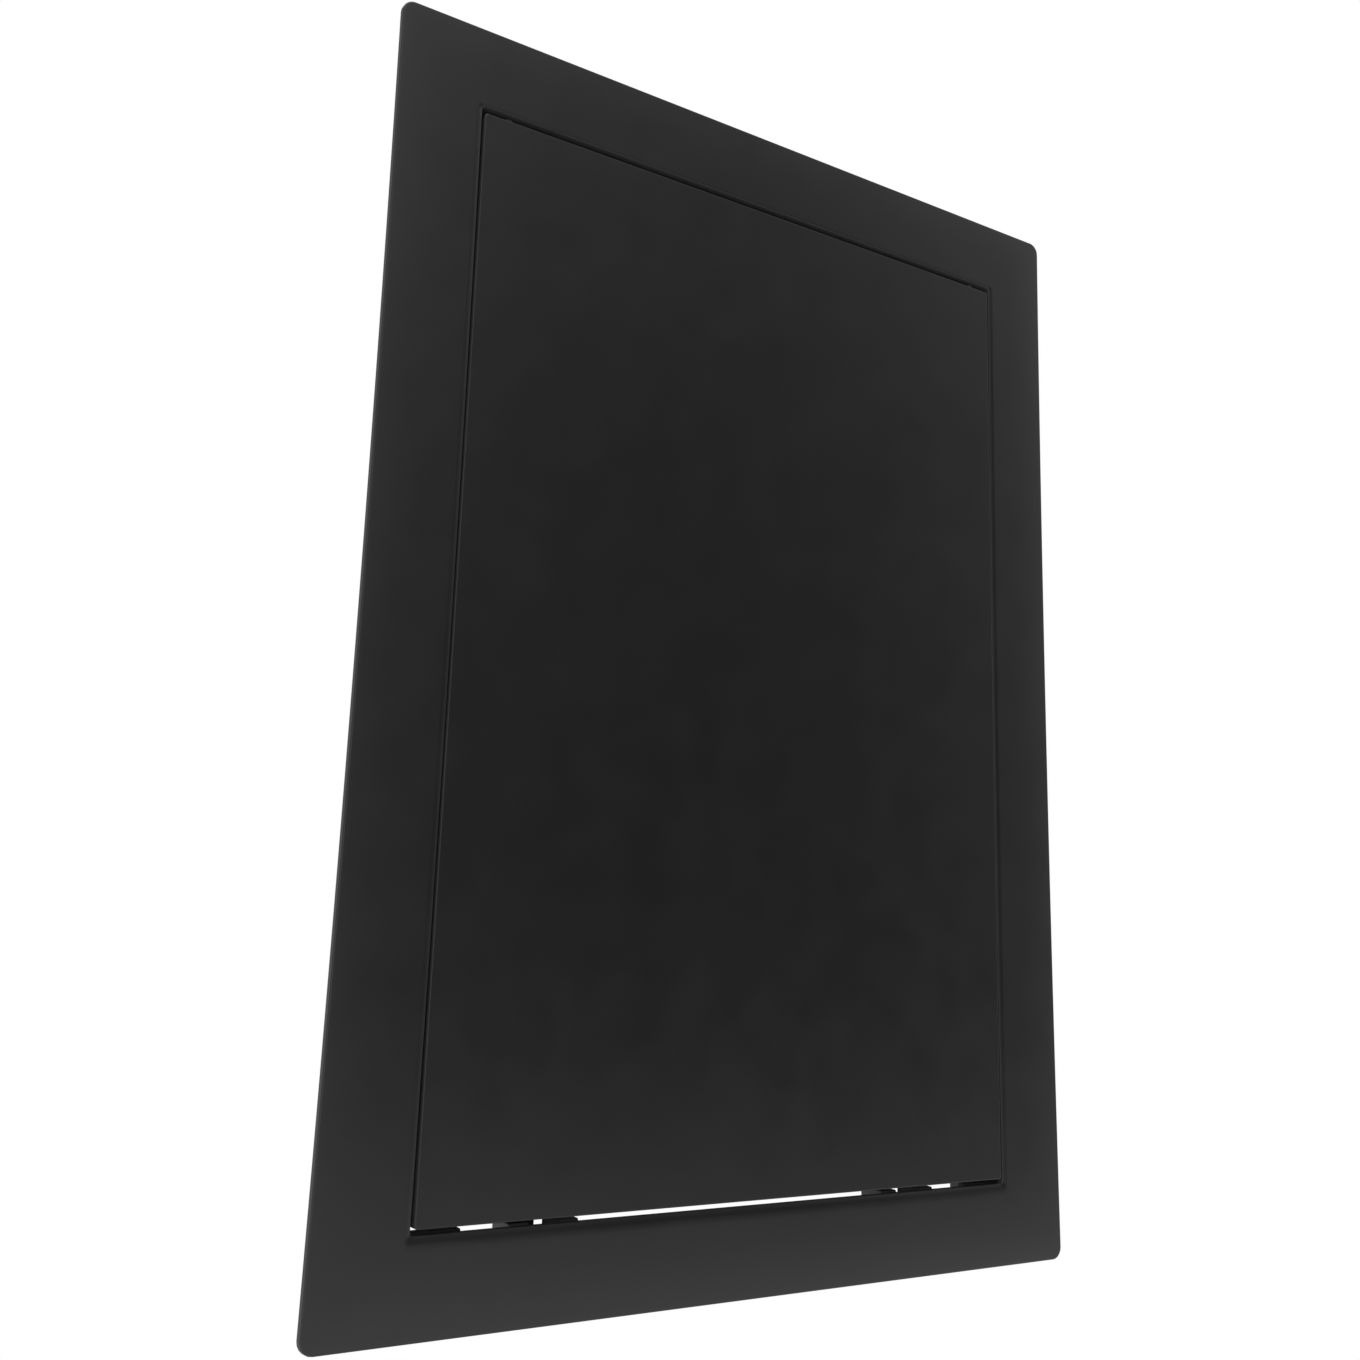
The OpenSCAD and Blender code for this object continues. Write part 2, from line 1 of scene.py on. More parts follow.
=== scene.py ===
# %% [markdown]
# # An inspection hatch, dressed for the camera
# The hatch is a flat frame that is plastered into a wall and a flush door that swings down on two gooseneck
# hinges. Its construction comes packed: every solid is there at its real size, with plain faces and sharp
# edges. This script loads it, models each piece again with the soft edges, drafts and root fillets that a
# mould or a press leaves, gives every piece the finish of its real material, and lights the scene like a
# small studio.

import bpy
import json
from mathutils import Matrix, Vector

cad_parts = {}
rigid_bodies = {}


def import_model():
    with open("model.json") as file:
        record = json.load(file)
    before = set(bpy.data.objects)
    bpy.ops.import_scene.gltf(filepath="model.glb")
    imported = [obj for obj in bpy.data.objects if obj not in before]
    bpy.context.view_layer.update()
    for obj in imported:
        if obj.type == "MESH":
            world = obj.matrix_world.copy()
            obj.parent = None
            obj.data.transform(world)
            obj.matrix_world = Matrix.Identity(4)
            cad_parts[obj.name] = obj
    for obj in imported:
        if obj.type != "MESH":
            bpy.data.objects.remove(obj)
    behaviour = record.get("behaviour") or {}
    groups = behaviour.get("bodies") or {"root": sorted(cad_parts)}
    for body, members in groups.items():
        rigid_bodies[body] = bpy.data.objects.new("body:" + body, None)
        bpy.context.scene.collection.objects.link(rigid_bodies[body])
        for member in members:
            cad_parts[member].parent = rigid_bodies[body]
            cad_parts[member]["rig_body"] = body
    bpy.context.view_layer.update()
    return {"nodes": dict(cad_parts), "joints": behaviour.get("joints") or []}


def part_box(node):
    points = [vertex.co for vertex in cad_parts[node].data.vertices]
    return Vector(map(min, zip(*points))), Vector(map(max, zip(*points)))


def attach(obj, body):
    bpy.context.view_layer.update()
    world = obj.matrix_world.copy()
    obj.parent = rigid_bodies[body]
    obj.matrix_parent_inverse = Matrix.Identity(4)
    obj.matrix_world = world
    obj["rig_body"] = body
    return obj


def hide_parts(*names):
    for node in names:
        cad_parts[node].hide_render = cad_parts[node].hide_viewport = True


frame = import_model()

# %% Blender, numpy and the unit
import json
import math

import bmesh
import bpy
import numpy as np
from mathutils import Matrix, Vector

MM = 0.001
# Points of a drawn surface closer than MERGE become one, and edges shorter than SLIVER are taken out.
MERGE = 0.002 * MM
SLIVER = 0.001 * MM
SIDES = {"left": -1, "right": 1}


def box_mm(node):
    """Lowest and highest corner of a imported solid, in millimetres."""
    low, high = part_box(node)
    return np.array(low) / MM, np.array(high) / MM


def pair(middle, offset):
    """Two places, one on each side of a middle."""
    return [middle - offset, middle + offset]


def placed(name, data):
    """A new object in the scene that holds a mesh, a lamp or a camera."""
    thing = bpy.data.objects.new(name, data)
    bpy.context.scene.collection.objects.link(thing)
    return thing


# %% [markdown]
# ## Sizes
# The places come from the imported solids: their boxes say where the flange, the door, the hinges and the
# catches are, and the joint says where the pivot is. What a box can't tell, such as the thickness of a
# wall, is named here in millimetres. So each dressed piece lies exactly on its solid.

# %% Frame and door, in millimetres
frame_low, frame_high = box_mm("frame")
door_low, door_high = box_mm("door_panel")
flange_w = 24.0
open_x = frame_high[0] - flange_w
open_z = frame_high[2] - flange_w
front = frame_low[1]
collar_back = frame_high[1]
collar_t = 2.0
floor_t = 4.0
rib_gap = 52.0
nib_h = 1.1
nib_inset = 10.0
side_lip = 1.2
door_x = door_high[0]
door_top = door_high[2] - nib_h
door_bottom = door_low[2]
rim_back = door_high[1]
door_t = 2.5
rim_t = 1.8
door_back = front + door_t
print("opening", np.round([2 * open_x, 2 * open_z], 2), "mm")
print("door", np.round([2 * door_x, door_top - door_bottom], 2), "mm")

# %% Hinges and catches, in millimetres
_, pivot_y, pivot_z = np.array(frame["joints"][0]["pos_m"]) / MM
bracket_low, bracket_high = box_mm("hinge_bracket_right")
arm_low, arm_high = box_mm("hinge_arm_right")
clip_low, clip_high = box_mm("catch_clip_right")
striker_low, striker_high = box_mm("striker_right")
hinge_x = (bracket_low[0] + bracket_high[0]) / 2
floor_z = bracket_low[2]
catch_x = (clip_low[0] + clip_high[0]) / 2
catch_z = (clip_low[2] + clip_high[2]) / 2
boss_y = striker_low[1]
arm_w = arm_high[0] - arm_low[0]
arm_t = 3.0
base_t = 2.0
base_wing = 7.0
ear_t = 5.7
ear_deep = 9.5
ear_gap = 0.3
hinge_w = bracket_high[0] - bracket_low[0] - 2 * base_wing
neck_w = hinge_w - 2 * ear_t - 2 * ear_gap
rest_z = bracket_high[2]
clip_t = 0.8
striker_t = 2.0
bracket_screw_x = (hinge_w + base_wing) / 2
arm_screw_x = 5.0
striker_screw_x = 6.2
print("pivot", np.round([pivot_y, pivot_z], 2), "hinge and catch at", np.round([hinge_x, catch_x], 2), "mm")

# %% [markdown]
# ## Shapes from formulas
# A moulded part is mostly profiles: a wall, a lip or a flange is one small drawing carried round a
# rectangle, a boss is a drawing turned about a line, and a rib or an ear is a flat drawing with rounded
# edges. So three surfaces are enough for all but the screws: rings carried round a loop, plates and turned
# forms. Each is worked out as whole arrays, so that its formula stands in one place.


# %% Rings of points and a closed skin over them
AXES = {"x": (2, 0, 1), "y": (0, 2, 1), "z": (0, 1, 2)}


def stacked(flat, heights, axis):
    """Rings in space from flat outlines, each at its height along an axis. An outline holds (y, z) for axis
    x, (x, z) for y and (x, y) for z."""
    level = np.broadcast_to(np.array(heights)[:, None, None], (*flat.shape[:2], 1))
    return np.dstack([flat, level])[:, :, list(AXES[axis])]


def skin(rings, closed=False):
    """Solid from n rings of m points each: neighbouring rings are joined by four-sided faces all the way
    round, and the first and last ring are closed with a flat face, or joined to each other when closed is
    true."""
    n, m, _ = rings.shape
    i, j = np.meshgrid(np.arange(n if closed else n - 1), np.arange(m), indexing="ij")
    after, beside = (i + 1) % n, (j + 1) % m
    faces = np.stack([i * m + j, i * m + beside, after * m + beside, after * m + j], -1)
    faces = faces.reshape(-1, 4).tolist()
    if not closed:
        faces += [list(range(m))[::-1], list(range((n - 1) * m, n * m))]
    mesh = bpy.data.meshes.new("solid")
    mesh.from_pydata((rings.reshape(-1, 3) * MM).tolist(), [], faces)
    work = bmesh.new()
    work.from_mesh(mesh)
    bmesh.ops.remove_doubles(work, verts=work.verts, dist=MERGE)
    bmesh.ops.dissolve_degenerate(work, edges=work.edges, dist=SLIVER)
    bmesh.ops.recalc_face_normals(work, faces=work.faces)
    work.to_mesh(mesh)
    work.free()
    return placed("solid", mesh)


# %% Loops round a rectangle
def loop(x0, x1, z0, z1, r, bend=5, along=20):
    """Points (x, z) round a rectangle: each corner is a quarter circle of radius r in equal steps of angle,
    and each straight side is cut into equal lengths, so that loops of different sizes match point by
    point."""
    centres = np.array([(x1 - r, z1 - r), (x0 + r, z1 - r), (x0 + r, z0 + r), (x1 - r, z0 + r)])
    angles = np.radians(np.linspace(0, 90, bend + 1) + np.arange(4)[:, None] * 90)
    corners = centres[:, None] + r * np.stack([np.cos(angles), np.sin(angles)], -1)
    share = np.linspace(0, 1, along + 2)[1:-1, None]
    straights = corners[:, -1][:, None] * (1 - share) + np.roll(corners[:, 0], -1, axis=0)[:, None] * share
    return np.concatenate([corners, straights], 1).reshape(-1, 2)


def carried(profile, closed=True):
    """A profile carried round rectangles: each of its points is (x0, x1, z0, z1, r, y), a loop at a
    depth."""
    flat = np.stack([loop(*point[:5]) for point in profile])
    return skin(stacked(flat, [point[5] for point in profile], "y"), closed)


# %% Outlines with soft corners, and the two sides of a strip
def softened(points, r, steps=4, most=0.45):
    """Outline with its corners rounded: at each corner the curve leaves one side r before the corner, bends
    through a parabola and joins the next side r after it. r is cut short where it is more than a share,
    most, of the shorter side."""
    p = np.array(points, float)
    to_last, to_next = np.roll(p, 1, axis=0) - p, np.roll(p, -1, axis=0) - p
    last_l, next_l = np.linalg.norm(to_last, axis=1), np.linalg.norm(to_next, axis=1)
    reach = np.minimum(np.minimum(last_l, next_l) * most, r)[:, None]
    start = p + to_last / last_l[:, None] * reach
    end = p + to_next / next_l[:, None] * reach
    s = np.linspace(0, 1, steps + 1)[None, :, None]
    curve = (1 - s) ** 2 * start[:, None] + 2 * s * (1 - s) * p[:, None] + s ** 2 * end[:, None]
    return curve.reshape(-1, 2)


def sideways(p, closed=True, least=1e-9):
    """For each point of a line, the step to the left of it that keeps an offset line parallel on both
    sides: the sum of the normals of its two stretches over one plus their dot product. A stretch counts as
    no shorter than least, so that nothing is divided by zero."""
    along = np.roll(p, -1, axis=0) - p
    along = along / np.maximum(np.linalg.norm(along, axis=1), least)[:, None]
    after = np.column_stack([-along[:, 1], along[:, 0]])
    before = np.roll(after, 1, axis=0)
    if not closed:
        after[-1], before[0] = before[-1], after[0]
    return (before + after) / (1 + np.sum(before * after, axis=1))[:, None]


def strip(path, thickness):
    """Outline of a strip whose middle follows a path: the path moved half a thickness to each side."""
    step = sideways(path, closed=False) * thickness / 2
    return np.concatenate([path + step, (path - step)[::-1]])


def arc(centre, r, start, end, steps=8):
    """Points of a circle of radius r from one angle to another, in degrees."""
    t = np.radians(np.linspace(start, end, steps + 1))
    return np.array(centre) + r * np.column_stack([np.cos(t), np.sin(t)])


def quarter(start, end, steps, r=1.0):
    """A quarter circle between two angles in degrees, as two arrays: r times one minus the cosine, and r
    times one minus the sine."""
    turn = np.radians(np.linspace(start, end, steps + 1))
    return r * (1 - np.cos(turn)), r * (1 - np.sin(turn))


# %% Plates: a flat outline with a thickness and rounded edges
def plate(outline, low, high, axis, r=0.3, steps=3):
    """A flat outline stretched from low to high along an axis. Towards each end it draws in along a quarter
    circle of radius r."""
    p = np.array(outline, float)
    area = np.sum(p[:, 0] * np.roll(p[:, 1], -1) - np.roll(p[:, 0], -1) * p[:, 1])
    inwards = sideways(p) * np.sign(area)
    inset, rise = quarter(90, 0, steps, r)
    insets = np.concatenate([inset, inset[::-1]])
    heights = np.concatenate([low + rise, (high - rise)[::-1]])
    return skin(stacked(p + inwards * insets[:, None, None], heights, axis))


def box_outline(a0, a1, b0, b1, r=0.0, steps=4):
    """The four corners of a rectangle, rounded by r."""
    corners = [(a0, b0), (a1, b0), (a1, b1), (a0, b1)]
    return softened(corners, r, steps) if r else np.array(corners, float)


# %% Turned forms: a profile turned about a line
def turned(profile, centre, axis, sides=40):
    """A profile of (radius, height) points turned about an axis through a centre: each point becomes a
    circle. A profile that comes back to its first point is a ring, and one that ends on the axis is closed
    there."""
    p = np.array(profile, float)
    t = np.linspace(0, 2 * np.pi, sides, endpoint=False)
    flat = p[:, 0][:, None, None] * np.stack([np.cos(t), np.sin(t)], -1)[None]
    rings = stacked(flat, p[:, 1], axis) + np.array(centre)
    return skin(rings, closed=bool(np.allclose(p[0], p[-1])))


def tube(inner, outer, low, high):
    """Closed profile of a tube: a root that flares over three straight steps, a side with draft, and a
    small round at the free end, whose middle point lies a share, bow, of its radius in from both sides."""
    flare, draft, soft, bow = 0.5, 0.1, 0.25, 0.3
    free = outer - draft
    root = [(outer + flare, low - flare), (outer + flare, low), (outer + 0.4 * flare, low + bow * flare)]
    end = [(free, high - soft), (free - soft * bow, high - soft * bow), (free - soft, high)]
    inside = [(inner + soft, high), (inner, high - soft), (inner, low - flare)]
    return [(inner, low - flare), *root, (outer, low + flare), *end, *inside]


# %% Joining solids into one piece
def fused(name, parts, cuts=()):
    """One closed solid: the parts joined and the cuts taken away, with true boolean operations, so that the
    piece has one skin, as a moulding has."""
    base = parts[0]
    steps = [(part, "UNION") for part in parts[1:]] + [(cut, "DIFFERENCE") for cut in cuts]
    for other, operation in steps:
        join = base.modifiers.new("Join", "BOOLEAN")
        join.operation, join.object, join.solver = operation, other, "MANIFOLD"
    graph = bpy.context.evaluated_depsgraph_get()
    graph.update()
    mesh = bpy.data.meshes.new_from_object(base.evaluated_get(graph))
    for old in [*parts, *cuts]:
        bpy.data.objects.remove(old)
    mesh.name = name
    return placed(name, mesh)


def finished(piece, node, material, smooth=38, hidden=None, forwards=-1 / 3):
    """Smooths the faces of a piece up to an angle in degrees, gives it its finish and puts it in place of
    its solid. The front looks towards minus y: a face whose normal has a y above forwards gets the hidden
    finish, where one is given. For the frame and the door that finish is paler, as painted light on their
    walls."""
    mesh = piece.data
    work = bmesh.new()
    work.from_mesh(mesh)
    bmesh.ops.remove_doubles(work, verts=work.verts, dist=SLIVER)
    bmesh.ops.dissolve_degenerate(work, edges=work.edges, dist=SLIVER)
    open_edges = sum(not edge.is_manifold for edge in work.edges)
    volume = work.calc_volume()
    work.to_mesh(mesh)
    work.free()
    mesh.polygons.foreach_set("use_smooth", np.ones(len(mesh.polygons), bool))
    mesh.set_sharp_from_angle(angle=math.radians(smooth))
    weigh = piece.modifiers.new("Weighted normals", "WEIGHTED_NORMAL")
    weigh.keep_sharp = True
    mesh.materials.clear()
    mesh.materials.append(material)
    # Faces that don't look to the front take the hidden finish, whose paler colour is painted light in the
    # gaps.
    if hidden:
        normals = np.empty(len(mesh.polygons) * 3)
        mesh.polygons.foreach_get("normal", normals)
        mesh.materials.append(hidden)
        mesh.polygons.foreach_set("material_index", (normals[1::3] > forwards).astype(np.int32))
    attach(piece, frame["nodes"][node]["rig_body"])
    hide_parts(node)
    print(piece.name, len(mesh.polygons), "faces", open_edges, "open edges", round(volume / MM ** 3), "mm3")
    return piece


# %% [markdown]
# ## Finishes
# The frame and the door are ABS, injection moulded. Their fronts are a soft satin black, and all their
# other faces are matt, with a paler colour that is painted light to lift the shade in the gaps. The hinge
# parts and the strikers are acetal, a smooth and slightly greasy black. The screws are zinc plated steel,
# the pins are bright drawn steel and the clips are hardened steel strip. Each finish is built from noise on
# Object coordinates, so its grain stays the same size on every piece and goes with the piece when the door
# opens.


# %% Colour and nodes
def linear(code):
    """sRGB hex to linear light: below 0.04045 divided by 12.92, and above it the 2.4 power curve."""
    value = np.array([int(code[i:i + 2], 16) for i in (1, 3, 5)]) / 255
    low, high = value / 12.92, ((value + 0.055) / 1.055) ** 2.4
    return (*np.where(value <= 0.04045, low, high).tolist(), 1.0)


def add(tree, kind, settings=None, **links):
    """Adds a node: settings are its own properties, and each link or value goes to the input of that name,
    with underscores for spaces, or to the input of that number, as in0."""
    node = tree.nodes.new(kind)
    for key, value in (settings or {}).items():
        setattr(node, key, value)
    for key, value in links.items():
        name = key.replace("_", " ")
        numbered = name.startswith("in") and name[2:].isdigit()
        socket = node.inputs[int(name[2:]) if numbered else name]
        if isinstance(value, bpy.types.NodeSocket):
            tree.links.new(value, socket)
        else:
            socket.default_value = value
    return node


def material(name):
    """A new material with its shader and its Object coordinates."""
    made = bpy.data.materials.new(name)
    made.use_nodes = True
    tree = made.node_tree
    shader = tree.nodes["Principled BSDF"]
    return made, tree, shader, add(tree, "ShaderNodeTexCoord").outputs["Object"]


def spread(tree, factor, low, high):
    """Stretches a factor of about 0.3 to 0.7, as noise gives, over low to high."""
    ramp = add(tree, "ShaderNodeMapRange", Value=factor, From_Min=0.3, From_Max=0.7, To_Min=low, To_Max=high)
    return ramp.outputs["Result"]


def waves(length_mm):
    """The scale of a noise whose waves are so many millimetres long: one over the length in metres."""
    return 1 / (length_mm * MM)


def dressed(tree, shader, tone, gloss, relief):
    """Joins three patterns to a shader. Tone is a pattern with its deep and its pale colour, gloss is a
    pattern with the least and the greatest roughness, and relief is a pattern with a strength and a depth
    in millimetres."""
    pattern, deep, pale = tone
    share, rgba = spread(tree, pattern, 0.0, 1.0), {"data_type": "RGBA"}
    colour = add(tree, "ShaderNodeMix", rgba, Factor=share, A=linear(deep), B=linear(pale))
    pattern, strength, depth_mm = relief
    bump = add(tree, "ShaderNodeBump", Strength=strength, Distance=depth_mm * MM, Height=pattern)
    tree.links.new(colour.outputs["Result"], shader.inputs["Base Color"])
    tree.links.new(spread(tree, *gloss), shader.inputs["Roughness"])
    tree.links.new(bump.outputs["Normal"], shader.inputs["Normal"])


# %% Moulded plastics
def moulded_plastic(name, deep, pale, rough, grain_mm=0.9, ior=1.53):
    """Moulded plastic: near-black pigment that varies a little with the flow of the melt, a gloss that
    varies with the polish of the tool, and a fine grain. Grain and IOR are those of ABS if not given."""
    flow_mm, polish_mm, polish_swing, grain_depth_mm = 60, 14, 0.02, 0.004
    made, tree, shader, place = material(name)
    flow = add(tree, "ShaderNodeTexNoise", Vector=place, Scale=waves(flow_mm), Detail=2.0, Distortion=1.2)
    polish = add(tree, "ShaderNodeTexNoise", Vector=place, Scale=waves(polish_mm), Detail=3.0)
    grain = add(tree, "ShaderNodeTexNoise", Vector=place, Scale=waves(grain_mm), Detail=2.0, Roughness=0.6)
    tone = (flow.outputs["Fac"], deep, pale)
    gloss = (polish.outputs["Fac"], rough - polish_swing, rough + polish_swing)
    relief = (grain.outputs["Fac"], 1.0, grain_depth_mm)
    dressed(tree, shader, tone, gloss, relief)
    shader.inputs["IOR"].default_value = ior
    print(name, "roughness", rough, "IOR", ior)
    return made


# A polished tool with a light grain gives a satin front, which shows the room as a soft grey without
# outlines. The frame is a shade paler than the door, as the photograph shows.
satin = 0.34
frame_abs = moulded_plastic("satin_black_abs_frame", "#151614", "#181917", satin)
door_abs = moulded_plastic("satin_black_abs_door", "#121312", "#151615", satin)
# The tool's side walls and its back half are spark-eroded, not polished. The faces that they leave are matt:
# they scatter light instead of mirroring it. Their colour is also much paler than the fronts', and that is
# painted light: it lifts the shade in a gap and along an edge, so they look greyer there.
matt = 0.75
frame_walls_matt_painted_light = moulded_plastic("matt_black_abs_frame_walls", "#363735", "#3a3b39", matt)
door_walls_matt_painted_light = moulded_plastic("matt_black_abs_door_walls", "#333433", "#373837", matt)
# Acetal is duller and greyer than polished ABS, because it forms crystals as it cools.
black_acetal = moulded_plastic("smooth_black_acetal", "#333434", "#3a3b3b", 0.5, grain_mm=0.7, ior=1.48)


# %% Metals
def rolled_metal(name, deep, pale, rough, stretch, line_mm, blotch_mm):
    """Bare or plated metal: fine lines along one axis, left by drawing or rolling, over soft blotches.
    stretch scales the lines along each axis, so that its smallest value gives their direction."""
    line_swing, line_depth_mm = 0.06, 0.006
    made, tree, shader, place = material(name)
    drawn = add(tree, "ShaderNodeMapping", Vector=place, Scale=stretch)
    lines = add(tree, "ShaderNodeTexNoise", Vector=drawn.outputs["Vector"], Scale=waves(line_mm), Detail=3.0)
    blotch = add(tree, "ShaderNodeTexNoise", Vector=place, Scale=waves(blotch_mm), Detail=2.0)
    tone = (blotch.outputs["Fac"], deep, pale)
    gloss = (lines.outputs["Fac"], rough - line_swing, rough + line_swing)
    relief = (lines.outputs["Fac"], 0.5, line_depth_mm)
    dressed(tree, shader, tone, gloss, relief)
    shader.inputs["Metallic"].default_value = 1.0
    print(name, "roughness", rough)
    return made


# Zinc with a clear blue passivation: bright, faintly blue, with cloudy blotches a few millimetres across.
zinc_steel = rolled_metal(
    "zinc_plated_steel", "#a9b0b8", "#c6cacd", rough=0.3, stretch=(1, 1, 1), line_mm=0.5, blotch_mm=2.5)
# Drawn pin: fine lines along the pin, which lies along X.
drawn_steel = rolled_metal(
    "bright_drawn_steel", "#a4a6a8", "#bcbec0", rough=0.24, stretch=(0.08, 1, 1), line_mm=0.25, blotch_mm=4.0)
# Hardened strip: rolled along its height, darker and a little brown from tempering.
spring_steel = rolled_metal(
    "hardened_strip_steel", "#7d7a75", "#95938f", rough=0.32, stretch=(1, 1, 0.08),
    line_mm=0.3, blotch_mm=5.0)

# %% [markdown]
# ## The frame
# The real frame is one moulding. Its flange lies on the wall with softly rounded edges, its collar goes
# into the wall and carries two key ribs that grip the plaster, and a lip inside stops the door. Each of
# these is a profile carried round the opening, so each is one ring of loops. The collar isn't the same all
# round, because its floor lies lower than the opening to make room for the hinges, so a loop is given by
# its four sides and its corner.


# %% Flange
def flange_profile():
    """The flange's section from the opening's edge outwards: up the inner wall, round a small edge and up a
    soft slope that flattens as the square of its length, out along the front, which is level at first and
    then falls back as the third power of the width, round the outer edge on a quarter circle and back along
    the wall side."""
    mouth_w, mouth_d, lip_r = 1.8, 0.28, 0.25
    level_w, crown, outer_r, draft, rear_edge = 4.0, 0.3, 0.4, 0.05, 0.3
    side, rise = quarter(0, 90, 3, lip_r)
    lip = np.column_stack([side, front + mouth_d + rise])
    s = np.linspace(0, 1, 8)[1:]
    slope = np.column_stack([lip_r + (mouth_w - lip_r) * s, front + mouth_d * (1 - s) ** 2])
    beside_mouth = [2.1, 2.6, 3.2, 3.9, 4.6]
    out = np.concatenate([beside_mouth, np.linspace(6.0, flange_w - draft - outer_r, 14)])
    flat = np.column_stack([out, front + crown * (np.maximum(out - level_w, 0) / (flange_w - level_w)) ** 3])
    fall, side = quarter(0, 90, 9, outer_r)
    outer = np.column_stack([flange_w - draft - side, front + crown + fall])[1:]
    rear = [(flange_w, -rear_edge), (flange_w - rear_edge, 0.0)]
    return np.concatenate([[(0.0, 0.0)], lip, slope, flat, outer, rear])


def round_opening(out, y):
    """A loop at a distance outside the opening. At the sides it starts from the edge of the lip, at the top
    it keeps close to the edge, where its distance grows as the 2.2 power over the first millimetres, and
    its corner radius grows from the opening's to the flange's."""
    mouth_corner, flange_corner, top_mouth_w, held_back = 1.0, 3.5, 4.0, 1.2
    corner = mouth_corner + (flange_corner - mouth_corner) * out / flange_w
    x = open_x - side_lip + out * (flange_w + side_lip) / flange_w
    top = open_z + out * min(out / top_mouth_w, 1) ** held_back
    return (-x, x, -open_z - out, top, corner, y)


def reshaped(piece, change):
    """Moves the points of a piece: change takes and returns x, y and z as arrays, in millimetres."""
    mesh = piece.data
    co = np.empty(len(mesh.vertices) * 3)
    mesh.vertices.foreach_get("co", co)
    x, y, z = (co / MM).reshape(-1, 3).T
    mesh.vertices.foreach_set("co", (np.stack(change(x, y, z), -1) * MM).ravel())
    mesh.update()
    return piece


def sunk_edge(x, y, z, fall=0.34, fall_w=3.4, ends=8.0, hair=0.01):
    """Lets the flange's front fall back towards the slot under the door: the depth grows as the square of
    the nearness to the slot's edge, and fades out towards the two corners."""
    near = np.clip(1 - (-open_z - z) / fall_w, 0, 1) * (z < -open_z + hair)
    window = np.clip((open_x - np.abs(x)) / ends, 0, 1)
    return x, y + fall * near ** 2 * window * (y < front / 2), z


flange = carried([round_opening(out, y) for out, y in flange_profile()])
reshaped(flange, sunk_edge)
print("flange of", len(flange.data.vertices), "points")


# %% Collar with its key ribs
def collar_loop(grow, y):
    """A loop outside the collar's clear room: the same at three sides, and thicker by the floor below. Its
    corner radius grows with its distance."""
    deeper = (floor_t - collar_t) * np.clip(grow, 0, collar_t) / collar_t
    inner_r, growth = 0.6, 0.6
    corner = inner_r + grow * growth
    return (-open_x - grow, open_x + grow, floor_z - grow - deeper, open_z + grow, corner, y)


def collar_profile():
    """The collar's section: back along the outside over two rounded key ribs, round the rear edge and
    forward along the inside. A key rib is one whole wave of the cosine, from foot to foot."""
    key_h, key_w, key_pitch, key_points = 0.8, 1.6, 7.0, 9
    start, soft, clear = -0.6, 0.5, 0.02
    last = collar_back - 1.8
    spans = [np.linspace(*pair(y, key_w / 2), key_points) for y in (last - key_pitch, last)]
    swell = np.tile(key_h * 0.5 * (1 + np.cos(np.linspace(-np.pi, np.pi, key_points))), 2)
    outside = np.column_stack([collar_t + swell, np.concatenate(spans)])
    side, rise = quarter(0, 90, 4, soft)
    rear = np.column_stack([collar_t - side, collar_back - rise])
    inside = [(clear + soft, collar_back), (clear, collar_back - soft), (clear, start)]
    return np.concatenate([[(collar_t, start)], outside, rear, inside])


collar = carried([collar_loop(grow, y) for grow, y in collar_profile()])
print("collar of", len(collar.data.vertices), "points")

# %% Stop lip, corner ledges and catch pads
lap = 0.6
door_play = 0.2
lip_y, lip_t, lip_w, lip_end = rim_back + door_play, 2.2, 4.0, 24.0
ledge_l, ledge_t, ledge_depth = 15.5, 2.0, 2.8
pad_y, pad_w, pad_low = clip_high[1], 16.0, clip_low[2] - 2
print("stop lip", round(lip_y, 2), "and catch pads", round(pad_y, 2), "mm behind the wall's face")


def stop_lip():
    """The lip is a U upside down, with rounded inner corners and rounded free ends."""
    out, inner, low = open_x + lap, open_x - lip_w, -open_z + lip_end
    outline = [(-out, low), (-inner, low), (-inner, open_z - lip_w), (inner, open_z - lip_w), (inner, low),
               (out, low), (out, open_z + lap), (-out, open_z + lap)]
    return plate(softened(outline, r=1.2), lip_y, lip_y + lip_t, "y", r=0.35)


def corner_ledge(s):
    """A short shelf in a bottom corner, a step above the slot's edge, which keeps fingers and dust out."""
    step_y = 0.05
    ends = sorted([s * (open_x - ledge_l), s * (open_x + lap)])
    step = [(-lap, -open_z - ledge_t), (ledge_depth, -open_z - ledge_t), (ledge_depth, rest_z),
            (step_y, rest_z), (step_y, -open_z), (-lap, -open_z)]
    return plate(softened(step, r=0.25), *ends, "x", r=0.3)


def catch_pad(s):
    """The pad that carries a clip, with a gusset at each side that runs from the lip down to the pad's
    foot."""
    gusset_t, foot, x = 1.5, 2.0, s * catch_x
    body = box_outline(*pair(x, pad_w / 2), pad_low, open_z + lap, r=0.8)
    lip_rear = lip_y + lip_t - lap
    gusset = [(lip_rear, open_z + lap), (lip_rear, open_z - lip_w), (pad_y - foot, pad_low),
              (pad_y + lap, pad_low), (pad_y + lap, open_z + lap)]
    ribs = [
        plate(softened(gusset, r=0.8), *pair(middle, gusset_t / 2), "x", r=0.25)
        for middle in pair(x, (pad_w - gusset_t) / 2)
    ]
    return [plate(body, pad_y, collar_back, "y", r=0.4), *ribs]


# %% Holes through the collar
wall_screw_y = (lip_y + lip_t + collar_back) / 2
wall_screw_z = open_z - 50.0
wall_screw_r = 2.2
slot_l, slot_w, slot_x = 18.0, 5.0, 23.4
screw_r, pilot_fit, clear_r = 1.3, 0.05, 1.6
pilot_r = screw_r + pilot_fit


